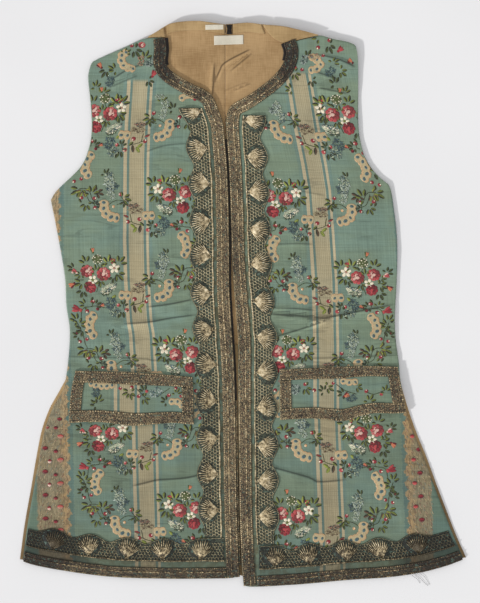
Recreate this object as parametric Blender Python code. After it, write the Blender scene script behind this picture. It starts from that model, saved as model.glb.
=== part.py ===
"""A long sleeveless waistcoat of brocaded silk, laid flat with its fronts up.

Two silk fronts lie on a linen back.  Metal braid edges the neck, the fronts and the hem, a wide
scalloped lace with raised shells lies inside it, and each front has a braided pocket flap.

Lengths are millimetres here and become metres in the meshes.  X runs across the garment, Y up to
its neck, Z up from the surface it lies on.  Left and right are as seen from above.  Every piece
is a wall whose upper side is a height over (x, y), and each layer starts a small gap above the
layer that it lies on.
"""

from collections import namedtuple
import math

import bmesh
import bpy

MM = 0.001

# ---------------------------------------------------------------- driving dimensions
BACK_WALL = 1.2
LINING_WALL = 1.0
FRONT_WALL = 1.8
FLAP_WALL = 2.0
BAND_WALL = 1.4
BRAID_WALL = 0.9
LACE_WALL = 0.9
LABEL_WALL = 0.5
SEAM_GAP = 0.3
TRIM_GAP = 0.35

CENTRE_BACK_X = -24.0        # the seam down the back
BACK_VENT_Y = -110.0         # below this height the back skirts part
BACK_VENT_HALF_WIDTH = 4.0
BACK_INSET = 4.0             # how far the silk hides the back's edge above the side vents
BACK_HEM_RISE = 9.0          # how far the back's hem stays above the fronts'
BACK_HEM_START_Y = -362.0    # height of the back's hem at its centre vent
BACK_HEM_CLEAR = 40.0        # the back's hem follows the fronts' beyond this from its centre vent
BACK_VENT_SPREAD = (20.0, -40.0)   # where the centre vent starts to open and is fully open
VENT_SHOW = 4.0              # how far the linen shows past the silk down the side vents
SIDE_VENT_Y = -96.0          # height of the top of the side vents
SIDE_VENT_RUN = 24.0         # the length over which the side vents' inset comes in
HEM_SLOPE = 0.35             # rise of the hem towards the side vents
LINING_TUCK = 1.6            # how far the lining stays inside the back's top edge

NECK_BAND_DEPTH = 12.0
NECK_BAND_LEFT = (-0.6, -103.0)    # its ends: from the centre seam, and in X
NECK_BAND_RIGHT = (10.4, 24.4)
NECK_BAND_SLANT = 5.0        # how far its right end leans out
TIE_FROM_SEAM = (1.4, 9.6)   # the tie's sides, from the centre seam
TIE_TOP = 375.8
TIE_BOTTOM = 363.4
TIE_WAIST = 0.3              # the share that its middle is drawn in
TIE_WALL = 1.4
TIE_CROWN = 1.1

EDGE_BRAID_INSET = 0.2
HEM_BRAID_INSET = 0.4
BRAID_PARTING = 1.4          # between the edge braid and the hem's
TRIM_END = 1.0               # how far the hem's trim stops short of the side vent
EDGE_BRAID_WIDTH = 17.0
HEM_BRAID_WIDTH = 14.5
FLAP_BRAID_WIDTH = 15.5
FLAP_LIFT = 0.8              # how far a flap's lower edge stands off
FLAP_BRAID_INSET = 0.5
FLAP_BRAID_PARTING = 0.4

LACE_FOOT = 21.0             # from the front's edge to the lace's straight side
LACE_VALLEY = 45.0           # to the low points of its scallops
LACE_TIP = 53.5              # to their high points
HEM_LACE_FOOT = 23.0
HEM_LACE_VALLEY = 47.0
HEM_LACE_TIP = 55.0
LACE_END = 0.6               # between the front's lace and the hem's
SHELL_HEIGHT = 1.9
SHELL_RADIUS = 16.0
SHELL_INSET = 6.0            # from a scallop's low points in to the middle of its shell

# ---------------------------------------------------------------- outlines
# Each outline is made of runs of (x, y) points, smooth along a run and sharp where runs meet.
Side = namedtuple("Side", "name sign shoulder inner outer hem shell_top shell_pitch shells "
                          "hem_shell_start hem_shell_pitch lace_top lace_straight flap")
Flap = namedtuple("Flap", "top bottom inner outer")
LaceTop = namedtuple("LaceTop", "foot tip")

LEFT_FLAP = Flap(
    top=((-67.5, -98.0), (-90, -95.8), (-125, -92.8), (-180, -90.2), (-226, -89.2)),
    bottom=((-65.5, -163.0), (-80, -161.8), (-96, -160.6), (-120, -162.6), (-144, -164.4),
            (-165, -162.6), (-190, -159.8), (-212, -159.6), (-235.4, -161.0)),
    inner=((-67.5, -98.0), (-66, -130), (-65.5, -163.0)),
    outer=((-226, -89.2), (-232.4, -120), (-235.4, -161.0)),
)
RIGHT_FLAP = Flap(
    top=((49.0, -87.6), (90, -85.8), (130, -83.6), (170, -82.8), (208.6, -83.8)),
    bottom=((49.4, -156.8), (70, -155.4), (97, -154.6), (117, -156.8), (137, -157.8),
            (158, -151.4), (178, -147.4), (198, -147.8), (220.6, -147.2)),
    inner=((49.0, -87.6), (49.0, -120), (49.4, -156.8)),
    outer=((208.6, -83.8), (214.4, -115), (220.6, -147.2)),
)

LEFT = Side(
    name="left", sign=-1.0,
    shoulder=(((-104, 358.5), (-116, 358.6), (-128, 358), (-139, 355.5), (-159, 346.3),
               (-180, 337.3), (-197, 329.6)), ((-197, 329.6), (-202.6, 326.6), (-205.6, 321.4))),
    inner=(((-104, 358.5), (-102.6, 343), (-103.6, 325), (-95.5, 313.4), (-72, 298.6),
            (-51.5, 288.8), (-40.6, 279), (-33.2, 262), (-27, 244), (-24.4, 221), (-20.4, 167),
            (-18.4, 86), (-18.2, 26), (-15.4, -28), (-11.6, -89), (-9.6, -170), (-8.2, -264),
            (-5.6, -345), (-4.2, -366)),),
    outer=(((-205.6, 321.4), (-208, 312), (-208.6, 302), (-205.4, 269), (-204, 235),
            (-208.4, 208), (-220, 183.6), (-250, 154), (-259.2, 140.4)),
           ((-259.2, 140.4), (-252.4, 107), (-240.4, 39), (-238.2, -1), (-233.8, -31),
            (-234, -56), (-237.6, -89), (-247, -116), (-260.6, -140.4), (-271.4, -170),
            (-278.8, -206.6), (-286.4, -251), (-294.4, -296), (-301, -345.6))),
    hem=(((-4.2, -366), (-15, -369.4), (-38, -370.2), (-98, -370.6), (-171.4, -368.4),
          (-228, -361.8), (-279.4, -352.6), (-301, -345.6)),),
    shell_top=259.0, shell_pitch=48.8, shells=12, hem_shell_start=-58.0, hem_shell_pitch=49.4,
    lace_top=LaceTop(264.0, 270.0), lace_straight=264.0, flap=LEFT_FLAP,
)
RIGHT = Side(
    name="right", sign=1.0,
    shoulder=(((54, 351), (63.5, 351.8), (77, 355.6), (90.5, 358.6), (104, 361.6), (120, 357.2),
               (137.6, 353.8), (146, 351.4)), ((146, 351.4), (151, 348.4), (153.4, 342))),
    inner=(((54, 351), (57.4, 340), (55.4, 328), (48.6, 316), (36.5, 303.2), (20.2, 290.4),
            (0, 277), (-12.4, 270.4), (-19.4, 262.4), (-22.4, 248), (-22.2, 228), (-18.8, 181),
            (-16.2, 113), (-14.6, 57), (-10.8, 5), (-7.6, -35), (-6.4, -62), (-6.4, -130),
            (-5.6, -197), (-4.6, -278), (-2, -345), (0.8, -378.4)),),
    outer=(((153.4, 342), (154.8, 329), (155.3, 302), (155.3, 246), (158, 221.4), (163.4, 201),
            (173, 183.6), (185, 170.2), (196.4, 161)),
           ((196.4, 161), (200, 151), (204, 124), (207.4, 93), (208, 57), (206.6, 19),
            (204.6, -21), (206.4, -52), (210.4, -82), (217.4, -123), (225.6, -150),
            (236.4, -179.6), (247, -205), (262, -246), (275.4, -281), (287.6, -312),
            (301, -343))),
    hem=(((0.8, -378.4), (6.6, -381), (26, -381), (77, -378), (144.4, -372), (191.6, -369),
          (236, -363), (266, -355.6), (286, -349), (301, -343)),),
    shell_top=247.0, shell_pitch=48.5, shells=12, hem_shell_start=42.0, hem_shell_pitch=48.0,
    lace_top=LaceTop(254.0, 264.0), lace_straight=250.0, flap=RIGHT_FLAP,
)

BACK_TOP_LEFT = (((-24, 376.6), (-42, 379), (-58, 381.1), (-78, 380.7), (-97, 378),
                  (-108, 372.4), (-128, 359.6), (-139, 353.6), (-159, 344), (-180, 335),
                  (-201, 325)),)
BACK_TOP_RIGHT = (((-24, 376.6), (-4, 378.2), (8, 378.8), (26, 376.6), (53, 374.2), (77, 369),
                   (104, 360.6), (120, 355), (137, 351.6), (149, 343)),)

# How high the top edge of the garment stands above the surface, and how far down that reaches.
Rise = namedtuple("Rise", "x top height reach")
RISES = (
    Rise(-210, 326, 0.3, 30), Rise(-160, 346, 0.8, 30), Rise(-128, 360, 3.2, 32),
    Rise(-100, 378, 5.6, 34), Rise(-58, 381, 6.4, 34), Rise(8, 379, 6.4, 34),
    Rise(53, 374, 6.0, 38), Rise(104, 362, 4.6, 50), Rise(137, 354, 3.8, 62),
    Rise(156, 346, 3.4, 70),
)

# The largest folds: soft ridges from one end to the other.
Fold = namedtuple("Fold", "x0 y0 x1 y1 half_width height")
FOLDS = {
    "left": (
        Fold(-124, -11, -68, -9, 12, 2.2),
        Fold(-205, -22, -70, -31, 10, 2.0),
        Fold(-222, -48, -120, -56, 15, 1.5),
        Fold(-196, 296, -128, 309, 13, 1.9),
        Fold(-196, 120, -166, 10, 34, 1.6),
        Fold(-166, -260, -72, -230, 17, 1.8),
        Fold(-262, -215, -236, -300, 16, 1.3),
    ),
    "right": (
        Fold(44, -16, 96, -19, 9, 2.1),
        Fold(52, -40, 200, 0, 11, 2.3),
        Fold(70, -66, 196, -42, 13, 1.5),
        Fold(92, 318, 146, 324, 15, 2.1),
        Fold(96, 287, 148, 291, 10, 1.4),
        Fold(150, 165, 170, 20, 36, 1.7),
        Fold(52, -232, 122, -256, 13, 1.8),
        Fold(176, -190, 236, -320, 20, 1.4),
    ),
    "lining": (
        Fold(-39, 328, -43, 288, 8, 0.9),
        Fold(-18, 312, 14, 338, 9, 1.1),
        Fold(-14, 286, 12, 297, 8, 0.8),
        Fold(-90, 345, -84, 312, 12, 0.8),
    ),
}

# Where the lining lies under the fronts, and the width over which they come down beside it.
Lining = namedtuple("Lining", "left right bottom margin fall")
LINING = Lining(-117.0, 70.0, -54.0, 5.0, 30.0)

# Rows down a front, closer where it is folded.
Band = namedtuple("Band", "end rows")
FRONT_BANDS = (Band(0.055, 6), Band(0.15, 8), Band(0.49, 9), Band(0.635, 16), Band(0.79, 4),
               Band(0.92, 8), Band(1.0, 3))
FRONT_COLUMNS = 14

# ---------------------------------------------------------------- colours
Finish = namedtuple("Finish", "name colour roughness metallic")
SILK = Finish("silk", (0.22, 0.34, 0.30), 0.5, 0.0)
LINEN = Finish("linen", (0.42, 0.26, 0.13), 0.9, 0.0)
LINEN_LINING = Finish("linen_lining", (0.40, 0.25, 0.12), 0.9, 0.0)
METAL_BRAID = Finish("metal_braid", (0.20, 0.16, 0.10), 0.45, 0.7)
METAL_LACE = Finish("metal_lace", (0.34, 0.28, 0.18), 0.45, 0.7)
WHITE_TAPE = Finish("white_tape", (0.70, 0.66, 0.55), 0.9, 0.0)
BLACK_TAPE = Finish("black_tape", (0.02, 0.02, 0.02), 0.8, 0.0)


# ---------------------------------------------------------------- curves and patches
def smooth_run(points, steps=8):
    """Points along a Catmull-Rom curve through the run."""
    if len(points) == 2:
        return [points[0], points[1]]
    ends = [tuple(2 * a - b for a, b in zip(points[0], points[1]))]
    ends += list(points)
    ends.append(tuple(2 * a - b for a, b in zip(points[-1], points[-2])))
    curve = []
    for before, start, end, after in zip(ends, ends[1:], ends[2:], ends[3:]):
        for step in range(steps):
            t = step / steps
            curve.append(tuple(
                0.5 * (2 * q + (r - p) * t + (2 * p - 5 * q + 4 * r - s) * t ** 2
                       + (3 * q - p - 3 * r + s) * t ** 3)
                for p, q, r, s in zip(before, start, end, after)))
    curve.append(points[-1])
    return curve


class Path:
    """A line of smooth runs, read by the share of its length from 0 to 1."""

    def __init__(self, runs):
        self.points = []
        meetings = []
        for run in runs:
            curve = smooth_run(run)
            self.points += curve if not self.points else curve[1:]
            meetings.append(len(self.points) - 1)
        self.lengths = [0.0]
        for a, b in zip(self.points, self.points[1:]):
            self.lengths.append(self.lengths[-1] + math.dist(a, b))
        self.length = self.lengths[-1]
        self.corners = [self.lengths[index] / self.length for index in meetings[:-1]]

    def at(self, share):
        """The point at a share of the length."""
        wanted = min(max(share, 0.0), 1.0) * self.length
        for index in range(1, len(self.lengths)):
            if wanted <= self.lengths[index]:
                break
        a, b = self.points[index - 1], self.points[index]
        t = (wanted - self.lengths[index - 1]) / (self.lengths[index] - self.lengths[index - 1])
        return (a[0] + (b[0] - a[0]) * t, a[1] + (b[1] - a[1]) * t)

    def beside(self, share, away):
        """The point that lies `away` to the left of the way along the path."""
        reach = 5.0 / self.length
        x, y = self.at(share)
        x0, y0 = self.at(share - reach)
        x1, y1 = self.at(share + reach)
        run = math.hypot(x1 - x0, y1 - y0)
        return (x - away * (y1 - y0) / run, y + away * (x1 - x0) / run)

    def x_at(self, y):
        """The path's x at a height, on a path that runs down."""
        for a, b in zip(self.points, self.points[1:]):
            if a[1] >= y >= b[1] and a[1] > b[1]:
                return a[0] + (b[0] - a[0]) * (a[1] - y) / (a[1] - b[1])
        return self.points[0][0] if y > self.points[0][1] else self.points[-1][0]

    def y_at(self, x):
        """The path's height at an x, on a path that runs across."""
        for a, b in zip(self.points, self.points[1:]):
            if min(a[0], b[0]) <= x <= max(a[0], b[0]) and a[0] != b[0]:
                return a[1] + (b[1] - a[1]) * (x - a[0]) / (b[0] - a[0])
        ends = sorted((self.points[0], self.points[-1]), key=lambda point: abs(point[0] - x))
        return ends[0][1]


def coons(top, bottom, inner, outer):
    """A patch inside four paths: u runs from inner to outer, v from top to bottom."""
    corners = (top.at(0), top.at(1), bottom.at(0), bottom.at(1))

    def place(u, v):
        ruled = [(1 - v) * a + v * b for a, b in zip(top.at(u), bottom.at(u))]
        sides = [(1 - u) * a + u * b for a, b in zip(inner.at(v), outer.at(v))]
        twist = [(1 - u) * (1 - v) * a + u * (1 - v) * b + (1 - u) * v * c + u * v * d
                 for a, b, c, d in zip(*corners)]
        return tuple(r + s - t for r, s, t in zip(ruled, sides, twist))

    return place


def even(count):
    """Even stops from 0 to 1."""
    return [index / count for index in range(count + 1)]


def banded(bands):
    """Stops from 0 to 1, in bands that each have their own number of rows."""
    stops = [0.0]
    for band in bands:
        start = stops[-1]
        stops += [start + (band.end - start) * row / band.rows for row in range(1, band.rows + 1)]
    return stops


def through(stops, corners):
    """Stops whose nearest ones are moved onto a path's corners."""
    moved = list(stops)
    for corner in corners:
        nearest = min(range(1, len(moved) - 1), key=lambda index: abs(moved[index] - corner))
        moved[nearest] = corner
    return moved


# ---------------------------------------------------------------- heights
def ease(value):
    """0 below 0, 1 above 1, and smooth between."""
    value = min(max(value, 0.0), 1.0)
    return value * value * (3 - 2 * value)


def lift(x, y):
    """How far the garment's top edge carries everything up from the surface at (x, y)."""
    rows = RISES
    if x <= rows[0].x:
        row = rows[0]
    elif x >= rows[-1].x:
        row = rows[-1]
    else:
        low, high = next((a, b) for a, b in zip(rows, rows[1:]) if a.x <= x <= b.x)
        t = (x - low.x) / (high.x - low.x)
        row = Rise(*(a + (b - a) * t for a, b in zip(low, high)))
    below = max(row.top - y, 0.0) / row.reach
    return row.height * max(0.0, 1.0 - below) ** 2


def folds(name, x, y):
    """The height that a piece's folds add at (x, y)."""
    height = 0.0
    for fold in FOLDS[name]:
        length = math.hypot(fold.x1 - fold.x0, fold.y1 - fold.y0)
        along_x, along_y = (fold.x1 - fold.x0) / length, (fold.y1 - fold.y0) / length
        along = ((x - fold.x0) * along_x + (y - fold.y0) * along_y) / length
        across = abs((y - fold.y0) * along_x - (x - fold.x0) * along_y) / fold.half_width
        if 0 < along < 1 and across < 1:
            ends = ease(along / 0.3) * ease((1 - along) / 0.3)
            height += fold.height * ends * math.cos(across * math.pi / 2) ** 2
    return height


def over_lining(x, y):
    """1 where the fronts lie on the lining, 0 well away from it."""
    inside = min(x - LINING.left, LINING.right - x, y - LINING.bottom) + LINING.margin
    return ease(1 + inside / LINING.fall)


def back_top(x, y):
    """Height of the back's upper side."""
    return BACK_WALL + lift(x, y)


def lining_base(x, y):
    """Height of the lining's lower side."""
    return back_top(x, y) + SEAM_GAP


def lining_top(x, y):
    """Height of the lining's upper side, without its folds."""
    return lining_base(x, y) + LINING_WALL


def front_top(name):
    """The upper side of one front."""
    def height(x, y):
        lining = over_lining(x, y) * (LINING_WALL + SEAM_GAP)
        return back_top(x, y) + SEAM_GAP + lining + FRONT_WALL + folds(name, x, y)
    return height


# ---------------------------------------------------------------- solids
def material_of(finish):
    """The Principled material of a finish, made once."""
    material = bpy.data.materials.get(finish.name)
    if material is None:
        material = bpy.data.materials.new(finish.name)
        material.use_nodes = True
        shader = material.node_tree.nodes["Principled BSDF"]
        shader.inputs["Base Color"].default_value = (*finish.colour, 1.0)
        shader.inputs["Roughness"].default_value = finish.roughness
        shader.inputs["Metallic"].default_value = finish.metallic
    return material


def wall(name, finish, collection, columns, rows, place, upper, lower):
    """A wall over a patch: a grid put in place, then extruded down to its lower side."""
    shape = bmesh.new()
    bmesh.ops.create_grid(shape, x_segments=len(columns) - 1, y_segments=len(rows) - 1, size=0.5)
    for vert in shape.verts:
        column = round((vert.co.x + 0.5) * (len(columns) - 1))
        row = round((vert.co.y + 0.5) * (len(rows) - 1))
        x, y = place(columns[column], rows[row])
        vert.co = (x * MM, y * MM, upper(x, y) * MM)
    grown = bmesh.ops.extrude_face_region(shape, geom=shape.faces[:], use_keep_orig=True)
    for item in grown["geom"]:
        if isinstance(item, bmesh.types.BMVert):
            item.co.z = lower(item.co.x / MM, item.co.y / MM) * MM
    bmesh.ops.recalc_face_normals(shape, faces=shape.faces[:])
    mesh = bpy.data.meshes.new(name)
    shape.to_mesh(mesh)
    shape.free()
    mesh.materials.append(material_of(finish))
    mesh.shade_smooth()
    mesh.set_sharp_from_angle(angle=math.radians(40))
    piece = bpy.data.objects.new(name, mesh)
    collection.objects.link(piece)
    return piece


def raised(height, amount):
    """A height moved up."""
    return lambda x, y: height(x, y) + amount


# ---------------------------------------------------------------- pieces
def moved_in(side, runs, above_vents, below_vents):
    """A side outline moved towards the middle, by one amount above the vents and one below."""
    def moved(point):
        share = ease((SIDE_VENT_Y + SIDE_VENT_RUN / 2 - point[1]) / SIDE_VENT_RUN)
        inset = above_vents + (below_vents - above_vents) * share
        return (point[0] - side.sign * inset, point[1])
    return tuple(tuple(moved(point) for point in run) for run in runs)


def with_ends(runs, start, end):
    """Runs whose first and last points are replaced."""
    points = [list(run) for run in runs]
    points[0][0] = start
    points[-1][-1] = end
    return tuple(tuple(run) for run in points)


def make_back(side, collection):
    """One half of the linen back, with its half of the centre vent."""
    top = BACK_TOP_LEFT if side.sign < 0 else BACK_TOP_RIGHT
    outer = moved_in(side, side.outer, BACK_INSET, 0.0)
    seam_x = CENTRE_BACK_X + side.sign * SEAM_GAP / 2
    vent_x = CENTRE_BACK_X + side.sign * BACK_VENT_HALF_WIDTH
    hem = [(x, y + BACK_HEM_RISE) for x, y in side.hem[0]
           if (x - vent_x) * side.sign > BACK_HEM_CLEAR]
    hem_start = (vent_x, BACK_HEM_START_Y)
    corner = (outer[-1][-1][0], outer[-1][-1][1] + 1.0)
    top = with_ends(top, (seam_x, top[0][0][1]), top[0][-1])
    outer = with_ends(outer, top[0][-1], corner)
    closed, parted = (BACK_VENT_Y + reach for reach in BACK_VENT_SPREAD)
    inner = (((seam_x, top[0][0][1]), (seam_x, closed)),
             ((seam_x, closed), (vent_x, parted)),
             ((vent_x, parted), hem_start))
    bottom = ((hem_start, *hem[:-2], corner),)
    place = coons(Path(top), Path(bottom), Path(inner), Path(outer))
    rows = banded((Band(0.06, 6), Band(0.16, 5), Band(0.5, 8), Band(1.0, 12)))
    rows = through(rows, Path(outer).corners)
    wall(f"back_{side.name}", LINEN, collection, even(12), rows, place, back_top,
         raised(back_top, -BACK_WALL))


def make_lining(side, collection):
    """One half of the lining that shows inside the neck and between the fronts."""
    seam_x = CENTRE_BACK_X + side.sign * SEAM_GAP / 2
    outer_x = LINING.left if side.sign < 0 else LINING.right
    edge = Path(BACK_TOP_LEFT if side.sign < 0 else BACK_TOP_RIGHT)

    def place(u, v):
        x = seam_x + (outer_x - seam_x) * u
        top = edge.y_at(x) - LINING_TUCK
        return (x, top + (LINING.bottom - top) * v)

    def upper(x, y):
        return lining_top(x, y) + folds("lining", x, y)

    rows = banded((Band(0.09, 6), Band(0.26, 9), Band(1.0, 3)))
    wall(f"back_lining_{side.name}", LINEN_LINING, collection, even(10), rows, place, upper,
         lining_base)


def make_neck_band(side, collection):
    """The band turned in along the back of the neck, on one side of the tie."""
    from_seam, far = NECK_BAND_LEFT if side.sign < 0 else NECK_BAND_RIGHT
    near = CENTRE_BACK_X + from_seam
    slant = NECK_BAND_SLANT if side.sign > 0 else 0.0
    edge = Path(BACK_TOP_LEFT if side.sign < 0 else BACK_TOP_RIGHT)

    def place(u, v):
        x = near + (far + slant * v - near) * u
        return (x, edge.y_at(x) - 0.5 - NECK_BAND_DEPTH * v)

    wall(f"neck_band_{side.name}", LINEN, collection, even(10), even(3), place,
         raised(lining_top, SEAM_GAP + BAND_WALL), raised(lining_top, SEAM_GAP))


def make_neck_tie(collection):
    """The flattened knot of black tape at the middle of the neck band."""
    left, right = (CENTRE_BACK_X + reach for reach in TIE_FROM_SEAM)

    def place(u, v):
        waist = 1.0 - TIE_WAIST * math.sin(math.pi * v)
        middle = (left + right) / 2
        return (middle + (right - left) * (u - 0.5) * waist,
                TIE_TOP + (TIE_BOTTOM - TIE_TOP) * v)

    def upper(x, y):
        crown = math.sin(math.pi * (y - TIE_BOTTOM) / (TIE_TOP - TIE_BOTTOM))
        return lining_top(x, y) + SEAM_GAP + TIE_WALL + TIE_CROWN * crown

    wall("neck_tie", BLACK_TAPE, collection, even(3), even(5), place, upper,
         raised(lining_top, SEAM_GAP))


def make_labels(collection):
    """Two bare tape labels: one on the neck band and one on the lining below it."""
    Label = namedtuple("Label", "name left right top bottom slope base")
    on_band = raised(lining_top, SEAM_GAP + BAND_WALL + SEAM_GAP)
    on_lining = raised(lining_top, SEAM_GAP)
    for label in (Label("label_small", -50.6, -26.4, 375.4, 369.0, 0.02, on_band),
                  Label("label_large", -39.0, 0.4, 361.4, 349.2, 0.03, on_lining)):
        def place(u, v, label=label):
            x = label.left + (label.right - label.left) * u
            return (x, label.top + (label.bottom - label.top) * v + (x - label.left) * label.slope)

        wall(label.name, WHITE_TAPE, collection, even(5), even(3), place,
             raised(label.base, LABEL_WALL), label.base)


def make_shoulders(collection):
    """The back's linen where it comes over each shoulder to meet the front."""
    base = raised(lining_top, SEAM_GAP)
    upper = raised(base, FRONT_WALL)
    left = coons(Path((((-106.6, 372.0), (-117, 366.2), (-127.4, 360.2)),)),
                 Path((((-104.6, 359.2), (-116, 359.3), (-127, 358.8)),)),
                 Path((((-106.6, 372.0), (-104.6, 359.2)),)),
                 Path((((-127.4, 360.2), (-127, 358.8)),)))
    right = coons(Path((((26.4, 376.0), (53, 373.8), (77, 368.6), (101.6, 362.0)),)),
                  Path((((53.4, 351.8), (63.4, 352.6), (77, 356.4), (90.4, 359.4),
                         (101, 361.6)),)),
                  Path((((26.4, 376.0), (33.6, 365.6), (43, 357), (53.4, 351.8)),)),
                  Path((((101.6, 362.0), (101, 361.6)),)))
    wall("shoulder_left", LINEN, collection, even(4), even(3), left, upper, base)
    wall("shoulder_right", LINEN, collection, even(9), even(5), right, upper, base)


def front_patch(side):
    """Where a front's silk lies, as a patch from its edge to its side."""
    outer = moved_in(side, side.outer, 0.0, VENT_SHOW)
    corner = (outer[-1][-1][0], side.hem[0][-1][1] + VENT_SHOW * HEM_SLOPE / 2)
    outer = with_ends(outer, outer[0][0], corner)
    hem = with_ends(side.hem, side.hem[0][0], corner)
    return coons(Path(side.shoulder), Path(hem), Path(side.inner), Path(outer))


def make_front(side, collection):
    """One silk front."""
    upper = front_top(side.name)
    columns = through(even(FRONT_COLUMNS), Path(side.shoulder).corners)
    rows = through(banded(FRONT_BANDS), Path(side.outer).corners)
    wall(f"front_{side.name}", SILK, collection, columns, rows, front_patch(side), upper,
         raised(upper, -FRONT_WALL))


def make_edge_braid(side, collection):
    """The braid round the neck and down the front's edge."""
    edge = Path(side.inner)

    def place(u, v):
        return edge.beside(v, side.sign * (EDGE_BRAID_INSET + EDGE_BRAID_WIDTH * u))

    base = raised(front_top(side.name), TRIM_GAP)
    rows = banded((Band(0.06, 7), Band(0.24, 16), Band(0.5, 7), Band(0.64, 9), Band(1.0, 8)))
    wall(f"braid_edge_{side.name}", METAL_BRAID, collection, even(2), rows, place,
         raised(base, BRAID_WALL), base)


def vent_edge(side):
    """The silk's own edge down the side."""
    return Path(moved_in(side, side.outer, 0.0, VENT_SHOW))


def make_hem_braid(side, collection):
    """The braid along the hem, from the edge braid to the side vent."""
    edge, hem, vent = Path(side.inner), Path(side.hem), vent_edge(side)

    def place(u, v):
        rise = HEM_BRAID_INSET + HEM_BRAID_WIDTH * v
        start = edge.points[-1][0] + side.sign * (EDGE_BRAID_WIDTH + BRAID_PARTING)
        end = vent.x_at(hem.y_at(vent.points[-1][0]) + rise) - side.sign * TRIM_END
        x = start + (end - start) * u
        return (x, hem.y_at(x) + rise)

    base = raised(front_top(side.name), TRIM_GAP)
    wall(f"braid_hem_{side.name}", METAL_BRAID, collection, even(20), even(1), place,
         raised(base, BRAID_WALL), base)


def scallop(distance, pitch):
    """1 at the middle of a shell and 0 half way to the next."""
    phase = distance / pitch - round(distance / pitch)
    return math.cos(math.pi * phase) ** 1.5


def shell(along, across, middle):
    """The height of a shell's dome at a place measured from the shell's middle."""
    reach = math.hypot(along, across - middle) / SHELL_RADIUS
    return SHELL_HEIGHT * (1 - reach * reach) if reach < 1 else 0.0


def make_front_lace(side, collection):
    """The scalloped lace beside the edge braid, a raised shell in each scallop."""
    edge, hem = Path(side.inner), Path(side.hem)
    below = hem.y_at(edge.points[-1][0] + side.sign * LACE_VALLEY) + HEM_LACE_TIP + LACE_END

    def edge_x(y):
        return edge.x_at(min(y, side.lace_straight))

    def place(u, v):
        top = side.lace_top.foot + (side.lace_top.tip - side.lace_top.foot) * u
        y = top + (below - top) * v
        wide = LACE_VALLEY + (LACE_TIP - LACE_VALLEY) * scallop(y - side.shell_top,
                                                                side.shell_pitch)
        return (edge_x(y) + side.sign * (LACE_FOOT + (wide - LACE_FOOT) * u), y)

    base = raised(front_top(side.name), TRIM_GAP)

    def upper(x, y):
        across = (x - edge_x(y)) * side.sign
        along = y - side.shell_top
        count = min(max(round(-along / side.shell_pitch), 0), side.shells - 1)
        along += count * side.shell_pitch
        return base(x, y) + LACE_WALL + shell(along, across, LACE_VALLEY - SHELL_INSET)

    wall(f"lace_front_{side.name}", METAL_LACE, collection, even(4), even(6 * side.shells + 3),
         place, upper, base)


def make_hem_lace(side, collection):
    """The same lace along the hem, with a straight stretch under the front's lace."""
    edge, hem, vent = Path(side.inner), Path(side.hem), vent_edge(side)
    start = edge.points[-1][0] + side.sign * LACE_FOOT
    under_front = edge.points[-1][0] + side.sign * (LACE_TIP + LACE_END)

    def depth(x):
        tip = scallop(x - side.hem_shell_start, side.hem_shell_pitch)
        if (under_front - x) * side.sign > 0:
            tip = 1.0
        return HEM_LACE_VALLEY + (HEM_LACE_TIP - HEM_LACE_VALLEY) * tip

    def place(u, v):
        end = vent.x_at(hem.y_at(vent.points[-1][0]) + HEM_LACE_FOOT
                        + (HEM_LACE_VALLEY - HEM_LACE_FOOT) * v) - side.sign * BRAID_PARTING
        x = start + (end - start) * u
        return (x, hem.y_at(x) + HEM_LACE_FOOT + (depth(x) - HEM_LACE_FOOT) * v)

    base = raised(front_top(side.name), TRIM_GAP)

    def upper(x, y):
        along = x - side.hem_shell_start
        along -= round(along / side.hem_shell_pitch) * side.hem_shell_pitch
        across = y - hem.y_at(x)
        return base(x, y) + LACE_WALL + shell(along, across, HEM_LACE_VALLEY - SHELL_INSET)

    wall(f"lace_hem_{side.name}", METAL_LACE, collection, even(34), even(4), place, upper, base)


def make_flap(side, collection):
    """A pocket flap and the four lengths of braid round it."""
    shape = side.flap
    outlines = [Path((run,)) for run in (shape.top, shape.bottom, shape.inner, shape.outer)]
    place = coons(*outlines)
    top, bottom, inner, outer = outlines
    on_front = raised(front_top(side.name), TRIM_GAP)

    def stand_off(x, y):
        high, low = top.y_at(x), bottom.y_at(x)
        return FLAP_LIFT * ease((high - y) / (high - low))

    def base(x, y):
        return on_front(x, y) + stand_off(x, y)

    upper = raised(base, FLAP_WALL)
    wall(f"flap_{side.name}", SILK, collection, even(12), even(4), place, upper, base)

    across = FLAP_BRAID_WIDTH / top.length
    down = FLAP_BRAID_WIDTH / inner.length
    gap_down = FLAP_BRAID_PARTING / inner.length
    edge = FLAP_BRAID_INSET / top.length
    rim = FLAP_BRAID_INSET / inner.length
    Length = namedtuple("Length", "name u0 u1 v0 v1 columns rows")
    for length in (
            Length("top", edge, 1 - edge, rim, down, 12, 1),
            Length("bottom", edge, 1 - edge, 1 - down, 1 - rim, 12, 1),
            Length("inner", edge, across, down + gap_down, 1 - down - gap_down, 1, 2),
            Length("outer", 1 - across, 1 - edge, down + gap_down, 1 - down - gap_down, 1, 2)):
        def lay(u, v, length=length):
            return place(length.u0 + (length.u1 - length.u0) * u,
                         length.v0 + (length.v1 - length.v0) * v)

        wall(f"flap_braid_{length.name}_{side.name}", METAL_BRAID, collection,
             even(length.columns), even(length.rows), lay,
             raised(upper, TRIM_GAP + BRAID_WALL), raised(upper, TRIM_GAP))


def main():
    """Clears the scene and makes every piece of the waistcoat."""
    for item in list(bpy.data.objects):
        bpy.data.objects.remove(item, do_unlink=True)
    collection = bpy.data.collections.new("waistcoat")
    bpy.context.scene.collection.children.link(collection)
    for side in (LEFT, RIGHT):
        make_back(side, collection)
        make_lining(side, collection)
        make_neck_band(side, collection)
        make_front(side, collection)
        make_edge_braid(side, collection)
        make_hem_braid(side, collection)
        make_front_lace(side, collection)
        make_hem_lace(side, collection)
        make_flap(side, collection)
    make_shoulders(collection)
    make_neck_tie(collection)
    make_labels(collection)


main()
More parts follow.
